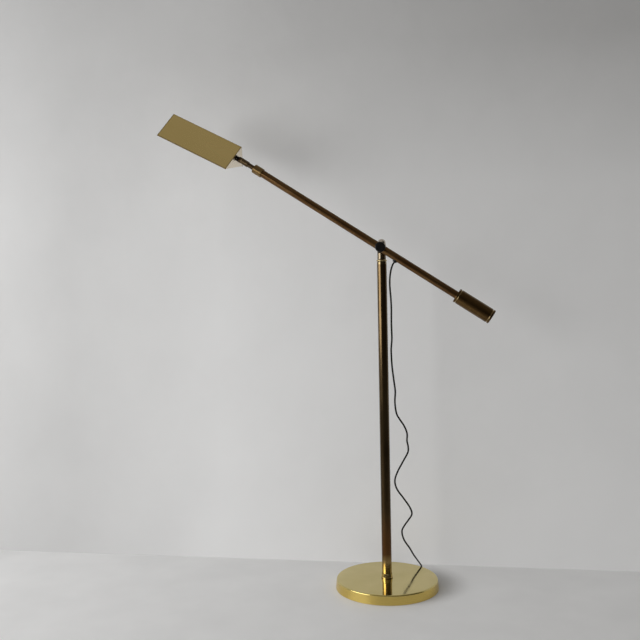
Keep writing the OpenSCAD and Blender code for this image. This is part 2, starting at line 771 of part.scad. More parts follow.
// Both slopes with their hems
module shade_section() {
    hem_top = slope_w - hem_w;
    side = [slope_point(slope_w, 0), slope_point(slope_w, 2 * sheet),
        slope_point(hem_top, 2 * sheet), slope_point(hem_top, sheet)];
    difference() {
        polygon([slope_point(0, 0), each side, inner_ridge, for (i = [3 : -1 : 0]) across(side[i])]);
        ridge_waste();
    }
}
module shade_shell() {
    color(brass) on_head() translate([0, 0, cap_gap]) linear_extrude(shade_len) shade_section();
}
module end_cap() {
    hem_top = slope_w - hem_w;
    edge = [slope_point(hem_top, sheet), slope_point(hem_top, 2 * sheet),
        slope_point(slope_w - 2 * sheet * tan(half_apex), 2 * sheet)];
    linear_extrude(sheet) polygon([inner_ridge, each edge, for (i = [2, 1, 0]) across(edge[i])]);
}
module shade_cap_near() {
    color(brass) on_head() difference() {
        translate([0, 0, cap_gap]) end_cap();
        translate([0, 0, cap_gap - 1]) cylinder(r = neck_r + fit, h = sheet + 2);
    }
}
module shade_cap_far() {
    color(brass) on_head() translate([0, 0, cap_gap + shade_len - sheet]) end_cap();
}

module holder_cap() {
    inner = holder_r - holder_wall;
    color(brass) on_head() translate([0, 0, holder_at]) rotate_extrude() polygon([[neck_r + fit, 0],
        [neck_r + 4.5, 0], [neck_r + 4.5, cap_neck_h - 1], [holder_r, cone_top - 0.5], [holder_r, cap_h],
        [inner, cap_h], [inner, cone_top], [neck_r + 3.5, cap_neck_h], [neck_r + fit, cap_neck_h]]);
}
module key_hole(r) {
    translate([0, 0, key_at]) rotate([0, -90, 0]) cylinder(r = r, h = holder_d);
}
module holder_shell() {
    inner = holder_r - holder_wall;
    color(brass) on_head() difference() {
        translate([0, 0, holder_at + cap_h]) rotate_extrude() {
            translate([inner, 0]) square([holder_wall, holder_len]);
            for (z = [holder_bead_at, holder_len - 1]) translate([holder_r, z]) circle(holder_bead_r);
        }
        key_hole(key_r + run_gap);
    }
}
module holder_liner() {
    r = holder_r - holder_wall - fit;
    color([0.35, 0.3, 0.22]) on_head() difference() {
        translate([0, 0, holder_at + cap_h]) ring(r, r - liner_t, holder_len - liner_short);
        key_hole(key_r + run_gap);
    }
}
module holder_core() {
    color([0.1, 0.09, 0.08]) on_head() difference() {
        translate([0, 0, holder_at + cone_top]) cylinder(r = core_r, h = core_top - cone_top);
        translate([0, 0, key_at]) rotate([0, -90, 0]) translate([0, 0, key_in - face_gap])
            cylinder(r = key_r + fit, h = holder_d);
    }
}
module screw_shell() {
    color(steel) on_head() translate([0, 0, holder_at + core_top])
        ring(shell_r, shell_r - shell_t, shell_len);
}
module centre_contact() {
    color(brass) on_head() translate([0, 0, holder_at + core_top]) cylinder(r = contact_r, h = contact_t);
}
module bulb_cap() {
    r = bulb_cap_r;
    color(steel) on_head() translate([0, 0, bulb_at - bulb_cap_len]) rotate_extrude() polygon([[0, 0],
        [tip_r, 0], [tip_r, tip_h], [r - 2, 4 * tip_h], [r, 5 * tip_h], [r, bulb_cap_len],
        [0, bulb_cap_len]]);
}
module glass_profile(inset) {
    r = bulb_r - inset;
    neck = glass_neck_r - inset;
    intersection() {
        union() {
            polygon([[0, -inset], [neck, -inset], [neck, 2], [r, glass_shoulder], [r, bulb_len - bulb_r],
                [0, bulb_len - bulb_r]]);
            translate([0, bulb_len - bulb_r]) circle(r);
        }
        translate([0, -inset]) square([bulb_r, bulb_len + inset]);
    }
}
module bulb_glass() {
    color([0.95, 0.95, 0.92]) on_head() translate([0, 0, bulb_at]) rotate_extrude() difference() {
        glass_profile(0);
        glass_profile(glass_t);
    }
}
module switch_key() {
    paddle = holder_r + key_neck;
    color(black) on_head() translate([0, 0, key_at]) rotate([0, -90, 0]) {
        translate([0, 0, key_in]) cylinder(r = key_r, h = paddle - key_in + 1);
        translate([0, 0, paddle]) intersection() {
            translate([-key_w / 2, -key_t / 2, 0]) cube([key_w, key_t, key_h]);
            cylinder(d = key_w, h = key_h);
        }
    }
}

// The lead's two hanging pieces are cut from one curve, so their ends match
module hung_lead(from, to) {
    tube(smooth(lead_route, lead_steps), from * lead_steps, to * lead_steps, lead_sides, [0, 1, 0]);
}
module whole_tube(c, sides) { tube(c, 0, len(c) - 1, sides, [0, 0, 1]); }
module cord_top() { color(black) hung_lead(0, join_at); }
module cord_drop() { color(black) hung_lead(join_at, len(lead_route) - 1); }
module cord_hank() { color(black) whole_tube(hank_curve(hank_rings), hank_sides); }
module cord_tail() { color(black) whole_tube(smooth(tail_route, lead_steps), lead_sides); }
module hank_tie() {
    half = hank_out_r - hank_waist + lead_r + tie_slack;
    top = hank_high + lead_r + tie_slack;
    color(black) translate([hank_x - tie_w / 2, hank_y, 0]) difference() {
        translate([0, -half - tie_t, 0]) cube([tie_w, 2 * (half + tie_t), top + tie_t]);
        translate([-1, -half, -1]) cube([tie_w + 2, 2 * half, top + 1]);
    }
}
// The plug's own frame: x along its blades, on the floor behind the rim
module on_plug() { translate([plug_mid[0], plug_mid[1], 0]) rotate([0, 0, plug_turn]) children(); }
// The two blades, or the slots that hold them
module blades(gap) {
    for (s = [1, -1])
        translate([blade_at - gap, s * blade_space / 2 - blade_t / 2 - gap, plug_h / 2 - blade_w / 2 - gap])
            cube([blade_len + gap, blade_t + 2 * gap, blade_w + 2 * gap]);
}
module plug_body() {
    body = plug_body_len / 2;
    color(black) on_plug() difference() {
        union() {
            intersection() {
                translate([-body, -plug_half_w, 0]) cube([plug_body_len, 2 * plug_half_w, plug_h]);
                translate([-body, 0, -1]) cylinder(r = plug_body_len, h = plug_h + 2);
            }
            translate([-body - plug_relief, 0, plug_h / 2]) rotate([0, 90, 0])
                cylinder(r1 = lead_r + plug_relief_wall, r2 = plug_h / 2 - 1, h = plug_relief);
        }
        blades(fit);
    }
}
module plug_blades() { color(brass) on_plug() blades(0); }

base_cover();
base_weight();
base_felt();
base_washer();
base_nut();
tie_rod();
foot_ring();
pole_tube();
pole_plug();
pole_bush();
thrust_washer();
swivel_post();
post_washer();
post_nut();
pivot_stud();
friction_washer();
knob_washer();
clamp_knob();
knob_insert();
arm_tube();
rear_saddle();
front_saddle();
cord_gland();
gland_screw();
inner_lead();
counterweight();
weight_screw();
arm_collar();
head_stem();
stem_washer();
knuckle_body();
knuckle_screw();
knuckle_nut();
knuckle_tongue();
cap_grommet();
neck_nut();
shade_shell();
shade_cap_near();
shade_cap_far();
holder_cap();
holder_shell();
holder_liner();
holder_core();
screw_shell();
centre_contact();
bulb_cap();
bulb_glass();
switch_key();
cord_top();
cord_drop();
cord_hank();
cord_tail();
hank_tie();
plug_body();
plug_blades();
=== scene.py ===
import math

import bmesh
import bpy
from mathutils import Matrix, Vector


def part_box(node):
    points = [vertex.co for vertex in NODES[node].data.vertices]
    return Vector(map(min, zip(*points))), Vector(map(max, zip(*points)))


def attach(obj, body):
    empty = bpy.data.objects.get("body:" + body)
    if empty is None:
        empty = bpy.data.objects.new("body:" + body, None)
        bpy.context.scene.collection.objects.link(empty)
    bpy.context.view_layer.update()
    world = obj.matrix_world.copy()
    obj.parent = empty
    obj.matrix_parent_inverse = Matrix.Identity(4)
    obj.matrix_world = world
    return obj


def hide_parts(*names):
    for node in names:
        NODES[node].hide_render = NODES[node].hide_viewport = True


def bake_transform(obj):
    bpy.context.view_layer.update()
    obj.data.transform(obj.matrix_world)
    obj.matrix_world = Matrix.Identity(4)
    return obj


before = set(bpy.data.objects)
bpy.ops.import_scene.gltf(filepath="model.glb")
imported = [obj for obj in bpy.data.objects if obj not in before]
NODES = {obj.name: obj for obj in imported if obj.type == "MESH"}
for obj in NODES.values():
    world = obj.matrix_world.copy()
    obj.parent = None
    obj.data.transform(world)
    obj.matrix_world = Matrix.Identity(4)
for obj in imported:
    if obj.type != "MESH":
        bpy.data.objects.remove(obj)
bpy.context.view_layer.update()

MM = 0.001

# Frames of the lamp's moving pieces at rest: post, arm, stem and head
SWING, TILT, ROLL, NOD = (math.radians(a) for a in (9, 33.6, -17.3, -5.8))
PIVOT_Z, ARM_OUT, HINGE_AT = 0.8563, 0.0216, 0.4245
REST = Matrix.Identity(4)
POST = Matrix.Rotation(-SWING, 4, "Z")
ARM = POST @ Matrix.Translation((0, -ARM_OUT, PIVOT_Z)) @ Matrix.Rotation(TILT - math.pi / 2, 4, "Y")
STEM = ARM @ Matrix.Rotation(ROLL, 4, "Z")
HEAD = STEM @ Matrix.Translation((0, 0, HINGE_AT)) @ Matrix.Rotation(NOD, 4, "Y")


# Camera
def make_camera():
    data = bpy.data.cameras.new("photo_camera")
    data.sensor_fit = "HORIZONTAL"
    data.sensor_width = 36
    data.lens = 42.75
    data.clip_end = 50
    cam = bpy.data.objects.new("photo_camera", data)
    cam.location = (-0.1587, -1.9226, 0.6782)
    cam.rotation_euler = (math.pi / 2, 0.0170, 0)
    bpy.context.scene.collection.objects.link(cam)
    bpy.context.scene.camera = cam


make_camera()


# Shader pieces
def place_in(tree, at):
    """Coordinates in metres in the frame of a moving piece at rest."""
    coord = tree.nodes.new("ShaderNodeTexCoord")
    place = tree.nodes.new("ShaderNodeMapping")
    place.vector_type = "TEXTURE"
    place.inputs["Location"].default_value = at.translation
    place.inputs["Rotation"].default_value = at.to_euler()
    tree.links.new(coord.outputs["Object"], place.inputs["Vector"])
    return place


def noise(tree, scale, detail=3, stretch=(1, 1, 1), at=REST):
    """A noise pattern in that frame, stretched along its axes."""
    place = place_in(tree, at)
    place.inputs["Scale"].default_value = stretch
    tex = tree.nodes.new("ShaderNodeTexNoise")
    tex.inputs["Scale"].default_value = scale
    tex.inputs["Detail"].default_value = detail
    tree.links.new(place.outputs["Vector"], tex.inputs["Vector"])
    return tex.outputs["Fac"]


def ramp(tree, fac, *stops):
    """A colour ramp through (place, colour) stops."""
    node = tree.nodes.new("ShaderNodeValToRGB")
    parts = node.color_ramp.elements
    while len(parts) < len(stops):
        parts.new(0.5)
    for part, (at, colour) in zip(parts, stops):
        part.position = at
        part.color = (*colour, 1)
    tree.links.new(fac, node.inputs["Fac"])
    return node.outputs["Color"]


def between(low, high):
    """Ramp stops for two colours, over the middle of a noise pattern."""
    return [(0.3, low), (0.7, high)]


def spread(tree, fac, low, high, first=0.3, last=0.7):
    """The range first..last of a value, mapped to low..high."""
    node = tree.nodes.new("ShaderNodeMapRange")
    node.inputs["From Min"].default_value = first
    node.inputs["From Max"].default_value = last
    node.inputs["To Min"].default_value = low
    node.inputs["To Max"].default_value = high
    tree.links.new(fac, node.inputs["Value"])
    return node.outputs["Result"]


def sums(tree, kind, first, second):
    """Arithmetic on two values, each a socket or a number."""
    node = tree.nodes.new("ShaderNodeMath")
    node.operation = kind
    for socket, value in zip(node.inputs, (first, second)):
        if isinstance(value, (int, float)):
            socket.default_value = value
        else:
            tree.links.new(value, socket)
    return node.outputs["Value"]


def mixed(tree, fac, first, second):
    """From the first colour to the second as fac goes from 0 to 1."""
    node = tree.nodes.new("ShaderNodeMix")
    node.data_type = "RGBA"
    tree.links.new(fac, node.inputs[0])
    for socket, value in zip(node.inputs[6:8], (first, second)):
        if isinstance(value, tuple):
            socket.default_value = (*value, 1)
        else:
            tree.links.new(value, socket)
    return node.outputs[2]


def axes(tree, at):
    """The separate coordinates in that frame."""
    split = tree.nodes.new("ShaderNodeSeparateXYZ")
    tree.links.new(place_in(tree, at).outputs["Vector"], split.inputs["Vector"])
    return split.outputs


def away_from(tree, x, y, place=(0, 0), stretch=1):
    """How far a point lies from a place on the floor, with its way out from the wall stretched."""
    along = sums(tree, "SUBTRACT", x, place[0])
    out = sums(tree, "MULTIPLY", sums(tree, "SUBTRACT", y, place[1]), stretch)
    squares = sums(tree, "ADD", sums(tree, "MULTIPLY", along, along), sums(tree, "MULTIPLY", out, out))
    return sums(tree, "SQRT", squares, 0)


def nearest(tree, value, places):
    """How far a value is from the nearest of those places."""
    least = 1
    for place in places:
        least = sums(tree, "MINIMUM", least, sums(tree, "ABSOLUTE", sums(tree, "SUBTRACT", value, place), 0))
    return least


def raise_surface(tree, fac, shader, depth, strength=1.0):
    node = tree.nodes.new("ShaderNodeBump")
    node.inputs["Strength"].default_value = strength
    node.inputs["Distance"].default_value = depth
    tree.links.new(fac, node.inputs["Height"])
    tree.links.new(node.outputs["Normal"], shader.inputs["Normal"])


def finish_of(name, **sockets):
    """A new material with one shader, whose even sockets are set directly."""
    mat = bpy.data.materials.new(name)
    mat.use_nodes = True
    tree = mat.node_tree
    shader = tree.nodes["Principled BSDF"]
    for key, value in sockets.items():
        shader.inputs[key.replace("_", " ")].default_value = value
    return mat, tree, shader


def metal(name, colours, rough, grain=40.0, depth=0.00003, stretch=(1, 1, 1), at=REST, spots=None):
    """Metal with clouds of tarnish, smudged gloss, fine drawn lines and, where given, dark spots."""
    mat, tree, shader = finish_of(name, Metallic=1.0)
    colour = ramp(tree, noise(tree, grain, 4, stretch, at), *colours)
    if spots:
        speckle = spread(tree, noise(tree, grain * 7, 2, (1, 1, 1), at), 0, 1, 0.62, 0.74)
        colour = mixed(tree, speckle, colour, spots)
    tree.links.new(colour, shader.inputs["Base Color"])
    smudge = noise(tree, grain * 0.6, 3, stretch, at)
    tree.links.new(spread(tree, smudge, *rough), shader.inputs["Roughness"])
    lines = [s * 12 if s == max(stretch) and s > 1 else s for s in stretch]
    raise_surface(tree, noise(tree, grain * 6, 2, lines, at), shader, depth)
    return mat


def plastic(name, low, high, rough, grain=300.0, depth=0.00004, **sockets):
    mat, tree, shader = finish_of(name, **sockets)
    tone = noise(tree, grain * 0.3, 3)
    tree.links.new(ramp(tree, tone, *between(low, high)), shader.inputs["Base Color"])
    tree.links.new(spread(tree, tone, *rough), shader.inputs["Roughness"])
    raise_surface(tree, noise(tree, grain, 2), shader, depth)
    return mat


# Finishes of the lamp
BASE_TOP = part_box("base_cover")[1][2]
RIM_FROM, RIM_TO, RIM_GLOSS = BASE_TOP - 0.004, BASE_TOP - 0.001, (0.27, 0.27, 0.27)
SPIN_MARKS = 900
# Heights where the pole turns to painted shade, to redder brass, and to a painted reflection of the base at
# the foot
POLE_PAINTED_SHADE, POLE_RED, POLE_PAINTED_REFLECTION = (0.34, 0.48), (0.10, 0.20), (0.045, 0.085)


def base_finish():
    """Polished spun brass: rings left by the spinning, a brighter satin rim and faint clouds."""
    mat, tree, shader = finish_of("spun_brass", Metallic=1.0)
    x, y, z = axes(tree, REST)
    r = away_from(tree, x, y)
    clouds = ramp(tree, noise(tree, 16, 4), (0.3, (0.59, 0.485, 0.175)), (0.65, (0.65, 0.54, 0.22)))
    rim = spread(tree, z, 1, 0, RIM_FROM, RIM_TO)
    tree.links.new(mixed(tree, rim, clouds, (0.74, 0.55, 0.16)), shader.inputs["Base Color"])
    gloss = mixed(tree, rim, spread(tree, noise(tree, 25, 3), 0.05, 0.11), RIM_GLOSS)
    tree.links.new(gloss, shader.inputs["Roughness"])
    ring = tree.nodes.new("ShaderNodeTexNoise")
    ring.noise_dimensions = "1D"
    ring.inputs["Scale"].default_value = SPIN_MARKS
    ring.inputs["Detail"].default_value = 2
    tree.links.new(r, ring.inputs["W"])
    raise_surface(tree, ring.outputs["Fac"], shader, 0.000012)
    return mat


def pole_finish():
    """Drawn brass gone brown with age and redder low down, with painted shade that makes it darker below its
    middle and a painted reflection of the base that makes it bright at the foot."""
    mat, tree, shader = finish_of("aged_pole", Metallic=1.0)
    height = axes(tree, REST)[2]
    clouds = noise(tree, 60, 4, (1, 1, 5))
    colour = ramp(tree, clouds, *between((0.090, 0.058, 0.026), (0.130, 0.089, 0.045)))
    for heights, low, high in ((POLE_PAINTED_SHADE, (0.048, 0.030, 0.013), (0.070, 0.047, 0.023)),
                               (POLE_RED, (0.090, 0.041, 0.013), (0.125, 0.061, 0.023)),
                               (POLE_PAINTED_REFLECTION, (0.42, 0.31, 0.12), (0.52, 0.39, 0.16))):
        below = spread(tree, height, 1, 0, *heights)
        colour = mixed(tree, below, colour, ramp(tree, clouds, *between(low, high)))
    tree.links.new(colour, shader.inputs["Base Color"])
    tree.links.new(spread(tree, noise(tree, 36, 3, (1, 1, 5)), 0.12, 0.22), shader.inputs["Roughness"])
    raise_surface(tree, noise(tree, 360, 2, (1, 1, 60)), shader, 0.00002)
    return mat


SHEET, HALF_APEX, RIDGE_UP, SLOPE_W = 0.0009, math.radians(43), 0.0332, 0.079
CAP_GAP, SHADE_LEN = 0.0135, 0.2065
# Painted shade along the shade's edges: where it is full, where it ends, its share and its unevenness
EDGE_SHADE_FULL, EDGE_SHADE_NONE, EDGE_SHADE_SHARE, EDGE_SHADE_UNEVEN = 0.0012, 0.0034, 0.85, 0.0012


def shade_finish(name, colours, stretch, edge=None):
    """Brushed brass outside and white paint inside, told apart by the depth in the sheet.

    Where an edge colour is given, it is painted shade along the fold, the hems and the ends."""
    mat = metal(name, colours, (0.22, 0.30), 18, 0.000004, stretch, HEAD)
    tree = mat.node_tree
    brass = tree.nodes["Principled BSDF"]
    x, y, z = axes(tree, HEAD)
    across = sums(tree, "ABSOLUTE", y, 0)
    up = sums(tree, "SUBTRACT", RIDGE_UP, x)
    depth = sums(tree, "SUBTRACT", sums(tree, "MULTIPLY", up, math.sin(HALF_APEX)),
                 sums(tree, "MULTIPLY", across, math.cos(HALF_APEX)))
    down = sums(tree, "ADD", sums(tree, "MULTIPLY", up, math.cos(HALF_APEX)),
                sums(tree, "MULTIPLY", across, math.sin(HALF_APEX)))
    from_middle = sums(tree, "ABSOLUTE", sums(tree, "SUBTRACT", z, CAP_GAP + SHADE_LEN / 2), 0)
    from_end = sums(tree, "SUBTRACT", SHADE_LEN / 2, from_middle)
    if edge:
        from_hem = sums(tree, "MINIMUM", down, sums(tree, "SUBTRACT", SLOPE_W, down))
        margin = sums(tree, "ADD", sums(tree, "MINIMUM", from_end, from_hem),
                      sums(tree, "MULTIPLY", noise(tree, 150, 2, (1, 1, 1), HEAD), EDGE_SHADE_UNEVEN))
        face = brass.inputs["Base Color"].links[0].from_socket
        # Painted shade along the fold, the hems and the ends
        painted_edge_shade = spread(tree, margin, EDGE_SHADE_SHARE, 0, EDGE_SHADE_FULL, EDGE_SHADE_NONE)
        tree.links.new(mixed(tree, painted_edge_shade, face, edge), brass.inputs["Base Color"])
    above_hem = sums(tree, "LESS_THAN", down, SLOPE_W - SHEET / 4)
    within_ends = sums(tree, "GREATER_THAN", from_end, SHEET / 2)
    painted = sums(tree, "GREATER_THAN", depth, SHEET / 2)
    painted = sums(tree, "MULTIPLY", sums(tree, "MULTIPLY", painted, above_hem), within_ends)
    paint = tree.nodes.new("ShaderNodeBsdfPrincipled")
    tone = ramp(tree, noise(tree, 30, 4), *between((0.70, 0.69, 0.65), (0.78, 0.77, 0.73)))
    tree.links.new(tone, paint.inputs["Base Color"])
    tree.links.new(spread(tree, noise(tree, 60, 3), 0.4, 0.55), paint.inputs["Roughness"])
    raise_surface(tree, noise(tree, 400, 2), paint, 0.00003)
    pick = tree.nodes.new("ShaderNodeMixShader")
    tree.links.new(painted, pick.inputs["Fac"])
    tree.links.new(brass.outputs["BSDF"], pick.inputs[1])
    tree.links.new(paint.outputs["BSDF"], pick.inputs[2])
    tree.links.new(pick.outputs["Shader"], tree.nodes["Material Output"].inputs["Surface"])
    return mat


POST_DOME = (PIVOT_Z + 0.007, PIVOT_Z + 0.011)
# Painted shade in the grooves and joints of turned brass: its colour, share and reach
JOINT_SHADE, JOINT_SHADE_SHARE, JOINT_SHADE_FULL, JOINT_SHADE_NONE = (0.045, 0.032, 0.016), 0.9, 0.0004, 0.0011


def post_finish():
    """The turned post: dark brass below and a pale dome on top."""
    mat, tree, shader = finish_of("post_brass", Metallic=1.0)
    clouds = noise(tree, 90, 4)
    dark = ramp(tree, clouds, *between((0.14, 0.11, 0.07), (0.21, 0.17, 0.115)))
    pale = ramp(tree, clouds, *between((0.62, 0.56, 0.48), (0.76, 0.70, 0.62)))
    dome = spread(tree, axes(tree, REST)[2], 0, 1, *POST_DOME)
    tree.links.new(mixed(tree, dome, dark, pale), shader.inputs["Base Color"])
    tree.links.new(spread(tree, noise(tree, 54, 3), 0.12, 0.24), shader.inputs["Roughness"])
    raise_surface(tree, noise(tree, 540, 2), shader, 0.00002)
    return mat


def turned_finish(name, colours, brighter_above, rough, grooves):
    """Turned brass: painted shade in the grooves and joints at those heights, and brighter above one height.
    """
    mat, tree, shader = finish_of(name, Metallic=1.0)
    height = axes(tree, REST)[2]
    bright_from, bright = brighter_above
    above = sums(tree, "GREATER_THAN", height, bright_from)
    face = mixed(tree, above, ramp(tree, noise(tree, 90, 4), *colours), bright)
    # Painted shade in the grooves and joints
    joint_shade = spread(tree, nearest(tree, height, grooves), JOINT_SHADE_SHARE, 0, JOINT_SHADE_FULL, JOINT_SHADE_NONE)
    tree.links.new(mixed(tree, joint_shade, face, JOINT_SHADE), shader.inputs["Base Color"])
    tree.links.new(spread(tree, noise(tree, 54, 3), *rough), shader.inputs["Roughness"])
    raise_surface(tree, noise(tree, 540, 2), shader, 0.00002)
    return mat


WEIGHT_GROOVES, GROOVE_FULL, GROOVE_NONE = (-0.3165, -0.2275), 0.0010, 0.0016


def weight_finish():
    """Brown brass, bright in the two turned grooves."""
    mat = metal("aged_weight", between((0.088, 0.047, 0.016), (0.152, 0.092, 0.034)), (0.20, 0.32), 45,
                0.00002, (1, 1, 4), ARM, (0.05, 0.028, 0.013))
    tree = mat.node_tree
    tint, gloss = (tree.nodes["Principled BSDF"].inputs[key] for key in ("Base Color", "Roughness"))
    bright = spread(tree, nearest(tree, axes(tree, ARM)[2], WEIGHT_GROOVES), 1, 0, GROOVE_FULL, GROOVE_NONE)
    tree.links.new(mixed(tree, bright, tint.links[0].from_socket, (0.40, 0.30, 0.16)), tint)
    smoother = spread(tree, bright, 1, 0.3, 0, 1)
    tree.links.new(sums(tree, "MULTIPLY", gloss.links[0].from_socket, smoother), gloss)
    return mat


FOOT_LOW, FOOT_TOP = (corner[2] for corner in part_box("foot_ring"))
POLE_TOP, BUSH_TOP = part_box("pole_tube")[1][2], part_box("pole_bush")[1][2]
FOOT_FLANGE, BUSH_BEAD, BUSH_GROOVE = 0.003, 0.0054, 0.0061
BASE_BRASS = base_finish()
POLE_BRASS = pole_finish()
# The shade's last colour is the painted shade along its fold, hems and ends
SHADE_BRASS = shade_finish("shade_brass", between((0.66, 0.50, 0.20), (0.70, 0.53, 0.22)), (1, 1, 4),
                           (0.22, 0.155, 0.065))
# The end caps' brass is paler than the shade's, a painted reflection of the pale wall
CAP_REFLECTION_BRASS = shade_finish("end_cap_brass", between((0.88, 0.78, 0.62), (0.92, 0.83, 0.68)), (1, 1, 1))
ARM_BROWNS = [(0.3, (0.110, 0.054, 0.021)), (0.5, (0.152, 0.082, 0.033)), (0.72, (0.188, 0.110, 0.044))]
ARM_BRASS = metal("aged_arm", ARM_BROWNS, (0.24, 0.36), 60, 0.00002, (1, 1, 5), ARM, (0.085, 0.046, 0.019))
WEIGHT_BRASS = weight_finish()
COLLAR_BRASS = metal("collar_brass", between((0.18, 0.110, 0.040), (0.27, 0.180, 0.078)), (0.24, 0.36), 90,
                     0.00002, (1, 1, 4), ARM)
POST_BRASS = post_finish()
BUSH_BRASS = turned_finish("bush_brass", between((0.15, 0.112, 0.054), (0.23, 0.172, 0.088)),
                           (BUSH_TOP - BUSH_BEAD, (0.50, 0.39, 0.20)), (0.12, 0.20),
                           [POLE_TOP, BUSH_TOP - BUSH_GROOVE])
FOOT_BRASS = turned_finish("foot_brass", between((0.46, 0.34, 0.14), (0.58, 0.44, 0.19)),
                           (FOOT_LOW + FOOT_FLANGE, (0.58, 0.45, 0.19)), (0.07, 0.13), [FOOT_LOW, FOOT_TOP])
STEM_BRASS = metal("dark_stem", between((0.056, 0.036, 0.019), (0.104, 0.068, 0.036)), (0.24, 0.36), 50,
                   0.00001, (1, 1, 2), STEM)
KNUCKLE_BRASS = metal("brown_knuckle", between((0.095, 0.062, 0.031), (0.165, 0.114, 0.062)), (0.26, 0.38),
                      50, 0.00001, (1, 1, 1), STEM)
TONGUE_BRASS = metal("black_tongue", between((0.030, 0.017, 0.016), (0.065, 0.040, 0.036)), (0.26, 0.38), 50,
                     0.00001, (1, 1, 1), HEAD)
BRIGHT_BRASS = metal("bright_brass", between((0.60, 0.45, 0.18), (0.70, 0.56, 0.25)), (0.10, 0.20), 70)
STEEL = metal("plated_steel", between((0.42, 0.42, 0.43), (0.58, 0.58, 0.59)), (0.22, 0.36), 120)
SHELL_METAL = metal("screw_shell_metal", between((0.62, 0.60, 0.55), (0.76, 0.75, 0.72)), (0.16, 0.30), 90)
IRON = metal("cast_iron", between((0.05, 0.05, 0.05), (0.12, 0.12, 0.12)), (0.5, 0.7), 200, 0.0002)
BLACK = plastic("black_plastic", (0.003, 0.003, 0.003), (0.007, 0.0065, 0.0065), (0.32, 0.46),
                Specular_IOR_Level=0.25)
CORE_BLACK = plastic("moulded_core", (0.01, 0.008, 0.007), (0.03, 0.024, 0.02), (0.2, 0.3))
FIBRE = plastic("fibre_card", (0.10, 0.07, 0.04), (0.20, 0.14, 0.08), (0.7, 0.85), 500, 0.0001)
NYLON = plastic("black_nylon", (0.02, 0.018, 0.016), (0.04, 0.036, 0.032), (0.35, 0.5))
LEAD_SKIN = plastic("lead_skin", (0.004, 0.0035, 0.003), (0.010, 0.008, 0.007), (0.45, 0.6), 400, 0.00005,
                    Specular_IOR_Level=0.2)
STRAP = plastic("woven_strap", (0.008, 0.008, 0.009), (0.022, 0.021, 0.021), (0.8, 0.95), 1600, 0.0003,
                Sheen_Weight=0.3)
FELT = plastic("green_felt", (0.010, 0.022, 0.014), (0.030, 0.050, 0.034), (0.9, 1.0), 900, 0.0004,
               Sheen_Weight=0.5)
FROST = plastic("frosted_glass", (0.84, 0.84, 0.80), (0.90, 0.90, 0.87), (0.35, 0.5), 600, 0.00002,
                Transmission_Weight=0.25, IOR=1.45)

FINISHES = {
    BASE_BRASS: ["base_cover"],
    SHADE_BRASS: ["shade_shell"],
    CAP_REFLECTION_BRASS: ["shade_cap_near", "shade_cap_far"],
    POLE_BRASS: ["pole_tube"],
    FOOT_BRASS: ["foot_ring"],
    BUSH_BRASS: ["pole_bush"],
    POST_BRASS: ["swivel_post"],
    ARM_BRASS: ["arm_tube", "front_saddle", "gland_screw"],
    WEIGHT_BRASS: ["counterweight"],
    COLLAR_BRASS: ["arm_collar"],
    STEM_BRASS: ["head_stem"],
    KNUCKLE_BRASS: ["knuckle_body", "knuckle_screw"],
    TONGUE_BRASS: ["knuckle_tongue"],
    BRIGHT_BRASS: ["knob_insert", "neck_nut", "holder_cap", "holder_shell", "centre_contact", "plug_blades"],
    STEEL: ["base_washer", "base_nut", "tie_rod", "pole_plug", "post_washer", "post_nut", "pivot_stud",
            "knob_washer", "weight_screw", "stem_washer", "knuckle_nut"],
    SHELL_METAL: ["screw_shell", "bulb_cap"],
    IRON: ["base_weight"],
    BLACK: ["clamp_knob", "rear_saddle", "cord_gland", "cap_grommet", "switch_key", "plug_body", "hank_tie"],
    CORE_BLACK: ["holder_core"],
    FIBRE: ["friction_washer", "holder_liner"],
    NYLON: ["thrust_washer"],
    FELT: ["base_felt"],
    FROST: ["bulb_glass"],
    LEAD_SKIN: ["inner_lead"],
}
for finish, names in FINISHES.items():
    for name in names:
        NODES[name].data.materials.clear()
        NODES[name].data.materials.append(finish)


# Making pieces
SHARP = math.radians(38)


def new_piece(name, bm, material, place=REST):
    """An object with that mesh, put in place by its vertices."""
    bmesh.ops.recalc_face_normals(bm, faces=bm.faces)
    mesh = bpy.data.meshes.new(name)
    bm.to_mesh(mesh)
    bm.free()
    return piece_of(name, mesh, material, place)


def piece_of(name, mesh, material, place):
    mesh.transform(place)
    mesh.materials.clear()
    mesh.materials.append(material)
    mesh.shade_smooth()
    mesh.set_sharp_from_angle(angle=SHARP)
    obj = bpy.data.objects.new(name, mesh)
    bpy.context.scene.collection.objects.link(obj)
    return obj


def join_rings(bm, rings, closed=False):
    """Faces between rings of vertices. A ring of one vertex is a pole."""
    pairs = list(zip(rings, rings[1:])) + ([(rings[-1], rings[0])] if closed else [])
    for lower, upper in pairs:
        m = max(len(lower), len(upper))
        for j in range(m):
            corners = [lower[j % len(lower)], lower[(j + 1) % len(lower)], upper[(j + 1) % len(upper)],
                       upper[j % len(upper)]]
            bm.faces.new(list(dict.fromkeys(corners)))


def turned(profile, sides, closed=False):
    """A solid of revolution about Z, from (radius, height) points in millimetres."""
    bm = bmesh.new()
    rings = []
    for r, z in profile:
        count = sides if r > 0 else 1
        turns = [2 * math.pi * k / sides for k in range(count)]
        rings.append([bm.verts.new((r * MM * math.cos(a), r * MM * math.sin(a), z * MM)) for a in turns])
    join_rings(bm, rings, closed)
    return bm


def bead(size, at, bm=None):
    """A smooth oval bead with those half sizes, in millimetres."""
    bm = bm or bmesh.new()
    put = Matrix.Translation(Vector(at) * MM) @ Matrix.Diagonal((*(s * MM for s in size), 1))
    bmesh.ops.create_uvsphere(bm, u_segments=16, v_segments=10, radius=1, matrix=put)
    return bm


